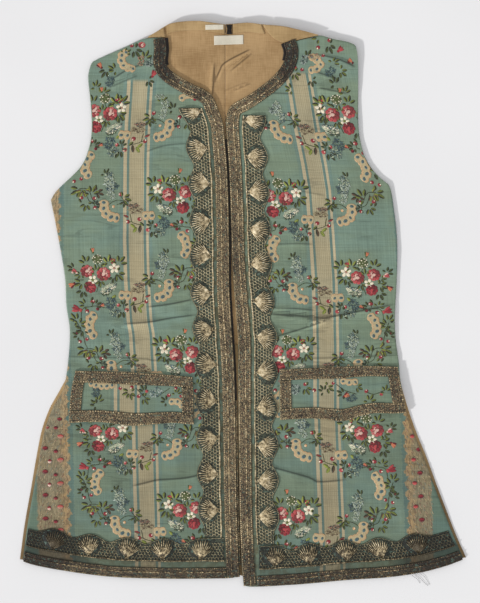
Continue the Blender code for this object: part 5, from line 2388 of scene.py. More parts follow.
class Workshop:
    """What several pieces share: the node trees, the small shapes and the floss."""

    def __init__(self) -> None:
        """Builds each once."""
        self.scatter = Scatter()
        self.thread = Thread()
        self.twist = Twist()
        self.shapes = {motif: motif.shape() for motif in Motif}
        self.floss = SilkFloss().material()

    def lines(self, runs: Sequence[Array]) -> Mesh:
        """Makes a mesh of loose lines, each run of points one line.

        Args:
            runs: The runs.

        Returns:
            The mesh.
        """
        points, edges, count = [], [], 0
        for run in runs:
            run = np.asarray(run, float)
            points.append(run if run.shape[1] == 3 else np.column_stack((run, np.zeros(len(run)))))
            index = np.arange(count, count + len(run))
            edges += list(zip(index[:-1].tolist(), index[1:].tolist()))
            count += len(run)
        return mesh_of("lines", np.vstack(points), (), edges)


def painted(mesh: Mesh, flosses: str, shade: Array | float) -> Mesh:
    """Stores two flosses and the share between them on every point of a mesh.

    Args:
        mesh: The mesh.
        flosses: The two flosses' names.
        shade: The share of the second floss.

    Returns:
        The same mesh.
    """
    count = len(mesh.vertices)
    for name, floss in zip(("paint", "paint_b"), flosses.split()):
        set_values(mesh, name, np.tile(dye(*Floss[floss.upper()].value), (count, 1)))
    set_values(mesh, "shade", np.broadcast_to(np.asarray(shade, float), (count,)).copy())
    return mesh


@dataclass(frozen=True)
class Brocade:
    """The woven figures on one piece of silk."""

    name: str
    shop: Workshop
    upper: Height
    shows: Callable[[Array, Array], Array]
    hold: Callable[[Array], Array]
    clear: float = 0.13
    lobe: float = 7.4

    def bent(self, mesh: Mesh, loom: Loom) -> Mesh:
        """Lays a mesh made on the flat chart onto the silk.

        Args:
            mesh: The mesh.
            loom: Where the chart lies on the garment.

        Returns:
            The same mesh, in place.
        """
        points = points_of(mesh)
        flat = self.hold(loom.to_garment(points[:, 0] / CHART, -points[:, 1] / CHART))
        z = self.upper(flat[:, 0], flat[:, 1]) + self.clear + points[:, 2]
        set_points(mesh, np.column_stack((flat, z)))
        return mesh

    def seen(self, loom: Loom, places: Array) -> Array:
        """Tells which places on the chart, column and row a row, show on the silk."""
        flat = loom.to_garment(places[:, 0], places[:, 1])
        return self.shows(flat[:, 0], flat[:, 1])

    def scattered(self, loom: Loom, motif: Motif, figures: Sequence[Figure],
                  wobble: float = 0.07, above: float = 0.0) -> list[Mesh]:
        """Sets one kind of figure wherever it is listed and shows.

        Args:
            loom: Where the chart lies on the garment.
            motif: The kind of figure.
            figures: The figures.
            wobble: How uneven their shapes are.
            above: How much higher they lie than the rest.

        Returns:
            One mesh, or none when no figure shows.
        """
        places = np.array([figure[:2] for figure in figures], float)
        figures = [figure for figure, shown in zip(figures, self.seen(loom, places)) if shown]
        if not figures:
            return []
        table = np.array([figure[:5] for figure in figures], float)
        heights = np.full(len(table), above)
        points = np.column_stack((table[:, 0] * CHART, -table[:, 1] * CHART, heights))
        mesh = mesh_of(motif.value, points, ())
        set_values(mesh, "turn", np.radians(table[:, 2]))
        sizes = np.column_stack((table[:, 3] * CHART, table[:, 4] * CHART, np.ones(len(table))))
        set_values(mesh, "size", sizes)
        for which, name in enumerate(("paint", "paint_b")):
            flosses = [figure[5].split()[which].upper() for figure in figures]
            set_values(mesh, name, np.array([dye(*Floss[floss].value) for floss in flosses]))
        made = self.shop.scatter.run(mesh, Shape=self.shop.shapes[motif], Wobble=wobble,
                                     Seed=11 + len(figures), Material=self.shop.floss)
        return [self.bent(made, loom)]

    def scrolls(self, loom: Loom, scrolls: Sequence[Scroll]) -> list[Mesh]:
        """Makes the broad scrolls, with a scalloped outer side and an eyelet in each lobe.

        Args:
            loom: Where the chart lies on the garment.
            scrolls: The scrolls, each a run and a width in squares of the chart.

        Returns:
            The meshes of those that show.
        """
        meshes = []
        for run, width in scrolls:
            line = Path(([(column * CHART, -down * CHART) for column, down in run],))
            if not self.seen(loom, line.at(np.linspace(0, 1, 5)) / (CHART, -CHART)).any():
                continue
            lobes = max(2, round(line.length / self.lobe))
            first, middle, last = line.at(np.array((0.0, 0.5, 1.0)))
            one, other = middle - first, last - middle
            outer = -1.0 if one[0] * other[1] - one[1] * other[0] > 0 else 1.0
            columns = np.array((0.0, 0.1, 0.3, 0.7, 0.9, 1.0))
            rows = stops(line.length, 1.2)

            def place(u: Array, v: Array, line: Path = line, width: float = width,
                      lobes: int = lobes, outer: float = outer) -> Array:
                """Runs across the scroll and along it, wide in its lobes and round at its ends.

                Args:
                    u: Shares of the way across.
                    v: Shares of the way along.
                    line: The scroll's middle.
                    width: Its width.
                    lobes: How many lobes it has.
                    outer: Which side is scalloped.

                Returns:
                    The points.
                """
                wave = np.abs(np.sin(v * lobes * math.pi)) ** 0.6
                side = (u - 0.5) * 2 * outer
                reach = np.where(side > 0, 0.58 + 0.46 * wave, 0.8 + 0.16 * wave)
                reach = reach * (1 + 0.05 * np.sin(v * line.length * 1.7 + side))
                ends = np.sqrt(np.clip(1 - np.abs(2 * v - 1) ** 9, 0.05, 1))
                return line.beside(v, (u - 0.5) * width * CHART * reach * ends)

            mesh = wall("scroll", columns, rows, place,
                        lambda x, y: np.full(x.shape, 0.2), 0.2, roll=0.7)
            mesh.uv_layers.remove(mesh.uv_layers[0])
            u, v = np.meshgrid(columns, rows)
            edge = np.where(np.abs(u - 0.5) > 0.35, 0.85, 0.2) + 0.16 * np.sin(v * 41 + 9 * u)
            meshes.append(self.bent(painted(mesh, "khaki tan", np.tile(edge.ravel(), 2)), loom))
            share = (np.arange(lobes) + 0.5) / lobes
            spots = line.beside(share, np.full(lobes, 0.05 * outer * width * CHART))
            spots = spots / (CHART, -CHART)
            eyelets = [(*spot, 67.0 * number, 0.4 * width, 0.36 * width, "slate smoke")
                       for number, spot in enumerate(spots.tolist())]
            meshes += self.scattered(loom, Motif.EYELET, eyelets, 0.3, 0.2)
        return meshes

    def stems(self, loom: Loom, runs: Sequence[Run], flosses: str = "dark moss",
              radius: float = 0.5) -> list[Mesh]:
        """Makes stems along the runs, where they show.

        Args:
            loom: Where the chart lies on the garment.
            runs: The runs.
            flosses: The two flosses' names.
            radius: The stems' radius.

        Returns:
            The meshes.
        """
        lines = []
        for run in runs:
            line = Path(([(column * CHART, -down * CHART) for column, down in run],))
            points = line.at(stops(line.length, 2.2))
            shown = self.seen(loom, points / (CHART, -CHART))
            if shown.all() and len(points) > 1:
                lines.append(points)
        if not lines:
            return []
        made = self.shop.thread.run(self.shop.lines(lines), Radius=radius * MM, Sides=5,
                                    Material=self.shop.floss)
        points = points_of(made)
        set_points(made, points * (1, 1, 0.5))
        shade = 0.5 + 0.5 * np.sin(points[:, 0] + points[:, 1])
        return [self.bent(painted(made, flosses, shade), loom)]

    def weave(self, loom: Loom, figures: dict[Motif, Sequence[Figure]],
              scrolls: Sequence[Scroll] = (), stems: Sequence[Run] = ()) -> list[Mesh]:
        """Makes all that is listed on one chart.

        Args:
            loom: Where the chart lies on the garment.
            figures: The figures of each kind.
            scrolls: The broad scrolls.
            stems: The stems.

        Returns:
            The meshes.
        """
        meshes = self.scrolls(loom, scrolls) + self.stems(loom, stems)
        for motif, listed in figures.items():
            meshes += self.scattered(loom, motif, listed)
        return meshes

    def finish(self, meshes: Sequence[Mesh]) -> Thing:
        """Joins what was woven into one piece."""
        mesh = joined(self.name, meshes)
        return new_piece(self.name, mesh, self.shop.floss, "silk")


def repeated(loom: Loom) -> tuple[dict[Motif, list[Figure]], list[Scroll], list[Run]]:
    """Repeats the chart down a front, turned left to right every other time.

    Args:
        loom: Where the pattern lies on the front.

    Returns:
        The figures, the scrolls and the stems.
    """
    figures: dict[Motif, list[Figure]] = {motif: [] for motif in FIGURES}
    scrolls, stems = [], []
    for number in range(len(loom.rows)):
        turned = (number % 2 == 1) != loom.first_turned
        way, start = -1 if turned else 1, REPEAT * number
        inwards = 5.0 if number == 0 else 0.0

        def moved(column: float, down: float, way: int = way, start: float = start,
                  inwards: float = inwards) -> Point:
            """Moves a place of the chart to this repeat."""
            near = column + inwards if column < -19 and down < 26 else column
            return (near * way, down + start)

        for motif, listed in FIGURES.items():
            for column, down, turn, long, wide, flosses in listed:
                angle = 180 - turn if turned else turn
                figures[motif].append((*moved(column, down), angle, long, wide, flosses))
        scrolls += [(tuple(moved(*point) for point in run), width) for run, width in SCROLLS]
        stems += [tuple(moved(*point) for point in run) for run in STEMS]
    return figures, scrolls, stems


@dataclass(frozen=True)
class FrontBrocade:
    """The woven figures of one front: the repeat, the shoulder's figures and the side bands.

    The feathers' rows and columns are a start, an end and a step, in squares of the chart.
    """

    front: SilkFront
    shop: Workshop
    neck_margin: float = 16.0
    flap_margin: float = 5.0
    trim_lap: float = 1.0
    seam_lap: float = 2.0
    feather_rows: tuple[float, float, float] = (20, 560, 3.2)
    feather_columns: dict[str, tuple[float, float, float]] = field(
        default_factory=lambda: {"left": (79, 108, 5.2), "right": (79, 101, 5.2)})
    feather_seeds: dict[str, int] = field(default_factory=lambda: {"left": 5, "right": 8})
    feather_flosses: tuple[str, ...] = ("khaki tan", "dun khaki", "slate khaki", "brown dun")
    feather_width: float = 0.75

    def shows(self, x: Array, y: Array) -> Array:
        """Tells where the silk shows past the trim and under no flap.

        Args:
            x: Places across.
            y: Places up.

        Returns:
            Whether it shows at each place.
        """
        side = self.front.side
        inner, hem, vent, shoulder = side.edge, side.foot, side.vent, side.crest
        gap = np.hypot(x[:, None] - inner.points[:, 0], y[:, None] - inner.points[:, 1]).min(1)
        beside = (x - inner.x_at(y)) * side.sign
        trim = np.where(y < side.lace_top[1] + self.seam_lap,
                        beside > LACE_VALLEY - self.trim_lap, gap > self.neck_margin)
        inside = (vent.x_at(y) - x) * side.sign > -self.seam_lap
        low = y - hem.y_at(x) > HEM_LACE_VALLEY - self.trim_lap
        high = y < shoulder.y_at(x) + self.seam_lap
        return trim & inside & low & high & (beside > 0) & ~self.under_flap(x, y)

    def under_flap(self, x: Array, y: Array) -> Array:
        """Tells where a pocket flap covers the silk.

        Args:
            x: Places across.
            y: Places up.

        Returns:
            Whether each place is covered.
        """
        shape = self.front.side.flap
        top, bottom = Path((shape.top,)), Path((shape.bottom,))
        low, high = sorted((shape.top[0][0], shape.bottom[-1][0]))
        margin = self.flap_margin
        return ((x > low + margin) & (x < high - margin) & (y < top.y_at(x) - margin)
                & (y > bottom.y_at(x) + margin))

    def hold(self, flat: Array) -> Array:
        """Keeps points inside the silk's outline, where a seam cuts the figures.

        Args:
            flat: The points.

        Returns:
            The points, each inside.
        """
        side = self.front.side
        limit = side.vent.x_at(flat[:, 1]) * side.sign - self.trim_lap
        x = np.minimum(flat[:, 0] * side.sign, limit) * side.sign
        return np.column_stack((x, np.minimum(flat[:, 1], side.crest.y_at(x) - self.trim_lap)))

    def side_band(self) -> tuple[list[Figure], list[Figure]]:
        """Lists the feather strokes, and the small red diamonds, of the side bands.

        Returns:
            The strokes and the diamonds.
        """
        side, loom = self.front.side, LOOMS[self.front.side.name]
        chance = np.random.default_rng(self.feather_seeds[side.name])
        strokes = []
        for down in np.arange(*self.feather_rows):
            for away in np.arange(*self.feather_columns[side.name]):
                column = side.sign * (away + chance.uniform(-2, 2))
                lie = 90 + side.sign * chance.uniform(15, 45)
                kind = self.feather_flosses[chance.integers(len(self.feather_flosses))]
                strokes.append((column, down + chance.uniform(-1, 1), lie,
                                chance.uniform(2.2, 4.4), self.feather_width, kind))
        place = np.array([figure[:2] for figure in strokes])
        flat = loom.to_garment(place[:, 0], place[:, 1]) / (CHART, -CHART)
        flat = flat + (CHART_COLUMN, CHART_ROW)
        strokes = [(*spot, *figure[2:]) for spot, figure in zip(flat.tolist(), strokes)]
        diamonds = [(column + drift * number, row + DIAMOND_PITCH * number, 0, wide, high, kind)
                    for column, row, drift, count, wide, high, kind in DIAMONDS[side.name]
                    for number in range(count)]
        return strokes, diamonds

    def build(self) -> Thing:
        """Weaves the figures.

        Returns:
            The piece.
        """
        side = self.front.side
        work = Brocade(f"brocade_{side.name}", self.shop, front_top(side.name), self.shows,
                       self.hold)
        meshes = work.weave(LOOMS[side.name], *repeated(LOOMS[side.name]))
        meshes += work.weave(PLAIN_LOOM, SHOULDER_FIGURES[side.name], SHOULDER_SCROLLS[side.name])
        strokes, diamonds = self.side_band()
        meshes += work.scattered(PLAIN_LOOM, Motif.FEATHER, strokes)
        meshes += work.scattered(PLAIN_LOOM, Motif.LEAF, diamonds, 0.06, 0.4)
        return work.finish(meshes)


@dataclass(frozen=True)
class FlapBrocade:
    """The woven figures in the window of one pocket flap."""

    flap: PocketFlap
    shop: Workshop
    margin: float = 12.0

    def build(self) -> Thing:
        """Weaves the figures.

        Returns:
            The piece.
        """
        side = self.flap.side
        top, bottom, _, _ = self.flap.paths()

        def shows(x: Array, y: Array) -> Array:
            """Tells where the silk shows inside the braid."""
            return (y < top.y_at(x) - self.margin) & (y > bottom.y_at(x) + self.margin)

        work = Brocade(f"brocade_flap_{side.name}", self.shop, self.flap.upper(), shows,
                       lambda flat: flat)
        return work.finish(work.weave(PLAIN_LOOM, FLAP_FIGURES[side.name],
                                      FLAP_SCROLLS[side.name], FLAP_STEMS[side.name]))


# ---------------------------------------------------------------- braid
@dataclass(frozen=True)
class Strip:
    """A length of braid: its name, what it replaces and where it runs."""

    name: str
    node: str
    place: Place
    base: Height
    length: float
    width: float


@dataclass(frozen=True)
class Galloon:
    """The metal braid round a front, its hem and its pocket flap."""

    side: Side
    finish: Material
    spacing: float = 4.2
    ribs: int = 9

    def edge_strip(self) -> Strip:
        """Gives the braid round the neck and down the front's edge.

        Returns:
            The length of braid.
        """
        side, edge = self.side, self.side.edge

        def place(u: Array, v: Array) -> Array:
            """Runs down the edge, and in from it, and turns over the hem at its end."""
            flat = edge.beside(v, side.sign * (EDGE_BRAID_INSET + EDGE_BRAID_WIDTH * u))
            return flat - np.array((0.0, 1.8)) * ease((v[..., None] - 0.985) / 0.015)

        return Strip(f"galloon_edge_{side.name}", f"braid_edge_{side.name}", place,
                     raised(front_top(side.name), TRIM_GAP), edge.length, EDGE_BRAID_WIDTH)

    def hem_strip(self) -> Strip:
        """Gives the braid along the hem.

        Returns:
            The length of braid.
        """
        side = self.side
        edge, hem, vent = side.edge, side.foot, side.vent

        def place(u: Array, v: Array) -> Array:
            """Runs up from the hem, and along it from the edge braid to the side vent.

            Args:
                u: Shares of the way across.
                v: Shares of the way along.

            Returns:
                The points.
            """
            rise = HEM_BRAID_INSET + HEM_BRAID_WIDTH * u
            start = edge.points[-1][0] + side.sign * (EDGE_BRAID_WIDTH + BRAID_PARTING)
            end = vent.x_at(hem.y_at(vent.points[-1][0]) + rise) - side.sign * TRIM_END
            x = start + (end - start) * v
            return np.stack((x, hem.y_at(x) + rise), -1)

        return Strip(f"galloon_hem_{side.name}", f"braid_hem_{side.name}", place,
                     raised(front_top(side.name), TRIM_GAP), 285.0, HEM_BRAID_WIDTH)

    def flap_strips(self, flap: PocketFlap) -> list[Strip]:
        """Gives the four lengths of braid round the pocket flap.

        Args:
            flap: The pocket flap.

        Returns:
            The lengths of braid.
        """
        patch = coons(*flap.paths())
        top, _, inner, _ = flap.paths()
        across, down = FLAP_BRAID_WIDTH / top.length, FLAP_BRAID_WIDTH / inner.length
        edge, rim = FLAP_BRAID_INSET / top.length, FLAP_BRAID_INSET / inner.length
        low = down + FLAP_BRAID_PARTING / inner.length
        base = raised(flap.upper(), TRIM_GAP)
        strips = []
        for name, outside, inside, start, end, upright in (
                ("top", rim, down, edge, 1 - edge, False),
                ("bottom", 1 - rim, 1 - down, edge, 1 - edge, False),
                ("inner", edge, across, low, 1 - low, True),
                ("outer", 1 - edge, 1 - across, low, 1 - low, True)):
            def place(u: Array, v: Array, outside: float = outside, inside: float = inside,
                      start: float = start, end: float = end, upright: bool = upright) -> Array:
                """Runs in from the flap's edge, and along it."""
                deep, along = outside + (inside - outside) * u, start + (end - start) * v
                return patch(deep, along) if upright else patch(along, deep)

            length = (inner if upright else top).length * (end - start)
            strips.append(Strip(f"galloon_flap_{name}_{self.side.name}",
                                f"flap_braid_{name}_{self.side.name}", place, base, length,
                                FLAP_BRAID_WIDTH))
        return strips

    def upper(self, strip: Strip, u: Array, v: Array) -> Array:
        """Finds the height of a strip's upper side: ribs run along it, and it puckers.

        Args:
            strip: The length of braid.
            u: Shares of the way across.
            v: Shares of the way along.

        Returns:
            The heights.
        """
        place = strip.place(u, v)
        ribs = 0.16 * np.cos(2 * math.pi * 4 * u)
        pucker = 0.14 * np.sin(v * strip.length / 3.7 + 2 * np.sin(v * strip.length / 31))
        return strip.base(place[..., 0], place[..., 1]) + BRAID_WALL + ribs + pucker

    def lay(self, strip: Strip) -> Thing:
        """Makes one length of braid.

        Args:
            strip: The length of braid.

        Returns:
            The piece.
        """
        columns = np.linspace(0, 1, 2 * self.ribs + 1)
        rows = stops(strip.length, self.spacing / 2, 0.4)
        u, v = np.meshgrid(columns, rows)
        heights = self.upper(strip, u, v)
        mesh = wall(strip.name, columns, rows, strip.place, lambda x, y: heights, BRAID_WALL,
                    lambda u, v, x, y: np.stack((v * strip.length, u * strip.width), -1))
        return new_piece(strip.name, with_tarnish(mesh), self.finish, "metal_braid", strip.node)

    def strips(self, flap: PocketFlap) -> list[Strip]:
        """Lists every length of braid on one front and on its pocket flap."""
        return [self.edge_strip(), self.hem_strip(), *self.flap_strips(flap)]

    def declare(self, strip: Strip, piece: Thing,
                threads: Sequence[Thing]) -> None:
        """Takes a length of braid and its pieces, and does nothing with them."""


# ---------------------------------------------------------------- lace
def scallop(distance: Array, pitch: float) -> Array:
    """Is 1 at the middle of a shell and 0 half way to the next."""
    phase = distance / pitch - np.round(distance / pitch)
    return np.cos(math.pi * phase) ** 1.5


@dataclass(frozen=True)
class LaceRun:
    """One straight run of the lace, in its own measures: along it, and across from the edge."""

    name: str
    node: str
    start: float
    end: float
    foot: float
    valley: float
    tip: float
    shells: tuple[float, ...]
    pitch: float
    bend: Callable[[Array, Array], Array]
    straight_from: float | None = None

    def depth(self, along: Array) -> Array:
        """Finds how far across the scalloped side lies.

        Args:
            along: Places along the run.

        Returns:
            How far across it lies.
        """
        along = np.asarray(along, float)
        nearest = np.array(self.shells)
        gap = np.abs(along[..., None] - nearest).min(-1)
        wave = np.where(gap < self.pitch / 2, scallop(np.minimum(gap, self.pitch / 2), self.pitch), 0)
        if self.straight_from is not None:
            wave = np.where((along - self.straight_from) * (self.end - self.start) < 0, 1.0, wave)
        return self.valley + (self.tip - self.valley) * wave


@dataclass(frozen=True)
class MetalLace:
    """The wide scalloped lace with a raised shell in each scallop."""

    side: Side
    ground: Material
    spacing: float = 2.0
    shell_height: float = 1.9
    shell_radius: float = 16.0
    shell_inset: float = 6.0

    def front_run(self) -> LaceRun:
        """Gives the lace down the front.

        Returns:
            The run of lace.
        """
        side = self.side
        edge, hem = side.edge, side.foot
        below = float(hem.y_at(edge.points[-1][0] + side.sign * LACE_VALLEY)
                      + HEM_LACE_TIP + LACE_END)
        shells = tuple(side.shell_top - side.shell_pitch * count for count in range(side.shells))

        def bend(along: Array, across: Array) -> Array:
            """Lays the run beside the front's edge."""
            x = edge.x_at(np.minimum(along, side.lace_straight)) + side.sign * across
            return np.stack((x, along), -1)

        return LaceRun(f"shell_lace_front_{side.name}", f"lace_front_{side.name}",
                       side.lace_top[0], below, LACE_FOOT, LACE_VALLEY, LACE_TIP, shells,
                       side.shell_pitch, bend)

    def hem_run(self) -> LaceRun:
        """Gives the lace along the hem.

        Returns:
            The run of lace.
        """
        side = self.side
        edge, hem, vent = side.edge, side.foot, side.vent
        start = float(edge.points[-1][0] + side.sign * LACE_FOOT)
        under_front = float(edge.points[-1][0] + side.sign * (LACE_TIP + LACE_END))
        level = hem.y_at(vent.points[-1][0])
        end = float(vent.x_at(level + (HEM_LACE_FOOT + HEM_LACE_VALLEY) / 2)
                    - side.sign * BRAID_PARTING)
        count = int(abs(end - side.hem_shell_start) / side.hem_shell_pitch) + 1
        shells = tuple(side.hem_shell_start + side.sign * side.hem_shell_pitch * number
                       for number in range(count))

        def bend(along: Array, across: Array) -> Array:
            """Lays the run above the hem, its far end in line with the side vent.

            Args:
                along: Places along the run.
                across: Places across the run.

            Returns:
                The points.
            """
            limit = vent.x_at(level + across) - side.sign * BRAID_PARTING
            share = (along - start) / (end - start)
            x = start + (limit - start) * share
            return np.stack((x, hem.y_at(x) + across), -1)

        return LaceRun(f"shell_lace_hem_{side.name}", f"lace_hem_{side.name}", start, end,
                       HEM_LACE_FOOT, HEM_LACE_VALLEY, HEM_LACE_TIP, shells,
                       side.hem_shell_pitch, bend, under_front)

    def dome(self, run: LaceRun, along: Array, across: Array) -> Array:
        """Finds how high a run's shells raise it.

        Args:
            run: The run of lace.
            along: Places along the run.
            across: Places across the run.

        Returns:
            The heights.
        """
        gap = np.abs(np.asarray(along, float)[..., None] - np.array(run.shells)).min(-1)
        reach = np.hypot(gap, across - (run.valley - self.shell_inset)) / self.shell_radius
        return self.shell_height * np.clip(1 - reach * reach, 0, 1)

    def surface(self, run: LaceRun, along: Array, across: Array) -> Array:
        """Finds the places of the lace's upper side.

        Args:
            run: The run of lace.
            along: Places along it.
            across: Places across it.

        Returns:
            The points of its upper side, in millimetres.
        """
        flat = run.bend(along, across)
        z = front_top(self.side.name)(flat[..., 0], flat[..., 1]) + TRIM_GAP + LACE_WALL
        return np.concatenate((flat, (z + self.dome(run, along, across))[..., None]), -1)

    def lay(self, run: LaceRun) -> Thing:
        """Makes the ground of one run of lace, dark as tarnished thread and as painted shade in the
        net's holes.

        Args:
            run: The run of lace.

        Returns:
            The piece.
        """
        def across_at(u: Array, along: Array) -> Array:
            """Runs from the lace's foot to its scallops."""
            return run.foot + (run.depth(along) - run.foot) * u

        def place(u: Array, v: Array) -> Array:
            """Lays the run on the garment."""
            along = run.start + (run.end - run.start) * v
            return run.bend(along, across_at(u, along))

        columns = stops(run.tip - run.foot, self.spacing, 0.5)
        rows = stops(abs(run.end - run.start), self.spacing, 0.5)
        u, v = np.meshgrid(columns, rows)
        along = run.start + (run.end - run.start) * v
        heights = self.surface(run, along, across_at(u, along))[..., 2]
        base = front_top(self.side.name)
        flat = place(u, v)
        low = base(flat[..., 0], flat[..., 1]) + TRIM_GAP
        mesh = wall(run.name, columns, rows, place, lambda x, y: heights, heights - low, None, 0.2)
        return new_piece(run.name, with_tarnish(mesh), self.ground, "metal_lace", run.node)

    def declare(self, run: LaceRun, piece: Thing,
                threads: Sequence[Thing]) -> None:
        """Takes a run of lace and its pieces, and does nothing with them.

        Args:
            run: The run of lace; not used.
            piece: The piece; not used.
            threads: What is worked on it; not used.
        """


# ---------------------------------------------------------------- thread work on the trim
def drop_outline(corners: int = 10) -> Array:
    """Gives the outline of a drop of unit length, narrow at its start and full near its end.

    Args:
        corners: How many corners it has.

    Returns:
        The outline.
    """
    turn = np.arange(corners) * 2 * math.pi / corners
    x = 0.5 * np.cos(turn)
    full = np.clip(0.28 + 0.95 * (x + 0.5) ** 0.9, 0, 1)
    return np.column_stack((x, 0.5 * np.sin(turn) * full))


@dataclass(frozen=True)
class BraidThreads:
    """The raised cords that run along a length of braid."""

    galloon: Galloon
    shop: Workshop
    finish: Material
    bead: Thing
    speck_pitch: float = 29.0
    speck_size: Triple = (4.4, 2.8, 1.2)
    on_front: tuple[tuple[float, Triple, float, float], ...] = (
        (0.08, (2.5, 1.5, 1.7), 2.7, 0.4), (0.58, (3.6, 2.0, 2.6), 5.0, -0.2),
        (0.58, (2.2, 1.4, 1.6), 2.2, 0.3), (0.91, (2.3, 1.5, 1.6), 2.9, 0.4))
    on_flap: tuple[tuple[float, Triple, float, float], ...] = (
        (0.09, (2.6, 1.7, 1.8), 3.2, 0.4), (0.91, (2.6, 1.7, 1.8), 3.4, -0.4),
        (0.5, (1.8, 1.0, 1.2), 4.4, 0.9))

    def cord(self, strip: Strip, deep: float, size: Triple,
             pitch: float, lean: float) -> Mesh:
        """Makes one twisted cord.

        Args:
            strip: The length of braid that it lies on.
            deep: How far in from the braid's outer edge, as a share of its width.
            size: The length, width and height of each turn of the cord.
            pitch: From one turn to the next.
            lean: How far each turn leans across the cord.

        Returns:
            The cord's mesh.
        """
        v = stops(strip.length - 2, 2.0) * (1 - 2 / strip.length) + 1 / strip.length
        u = np.full(v.shape, deep)
        flat = strip.place(u, v)
        z = self.galloon.upper(strip, u, v) + 0.05
        line = self.shop.lines([np.column_stack((flat, z))])
        return self.shop.twist.run(line, Shape=self.bead, Pitch=pitch * MM, Lean=lean,
                                   Size=size, Material=self.finish)

    def specks(self, strip: Strip) -> Mesh:
        """Makes the crimson stitches set along a strip.

        Args:
            strip: The length of braid.

        Returns:
            The mesh.
        """
        along = np.arange(9.0, strip.length - 6, self.speck_pitch)
        v = (along + 5 * np.sin(along)) / strip.length
        u = 0.36 + 0.12 * np.sin(v * strip.length)
        flat = strip.place(u, v)
        z = self.galloon.upper(strip, u, v) + 0.1
        mesh = mesh_of("specks", np.column_stack((flat, z)), ())
        set_values(mesh, "turn", 2.2 * np.sin(v * 900))
        set_values(mesh, "size", np.tile(self.speck_size, (len(v), 1)))
        made = self.shop.scatter.run(mesh, Shape=self.bead, Wobble=0.25, Seed=5,
                                     Material=self.shop.floss)
        return painted(made, "brown deep", 0.3 + 0.2 * np.sin(points_of(made)[:, 1]))

    def lay(self, strip: Strip) -> list[Thing]:
        """Makes the cords and stitches of one length of braid.

        Args:
            strip: The length of braid.

        Returns:
            The pieces.
        """
        cords = self.on_flap if "flap" in strip.name else self.on_front
        meshes = [self.cord(strip, deep, size, pitch, lean) for deep, size, pitch, lean in cords]
        name = strip.name.replace("galloon", "braid_cords")
        mesh = with_tarnish(joined(name, meshes))
        pieces = [new_piece(name, mesh, self.finish, "metal_braid")]
        if "hem" not in name:
            pieces.append(new_piece(name.replace("cords", "stitches"), self.specks(strip),
                                    self.shop.floss, "metal_braid"))
        return pieces

    def build(self, flap: PocketFlap) -> None:
        """Makes all the braid of one front, with the cords on it.

        Args:
            flap: The pocket flap.
        """
        for strip in self.galloon.strips(flap):
            braid = self.galloon.lay(strip)
            self.galloon.declare(strip, braid, self.lay(strip))


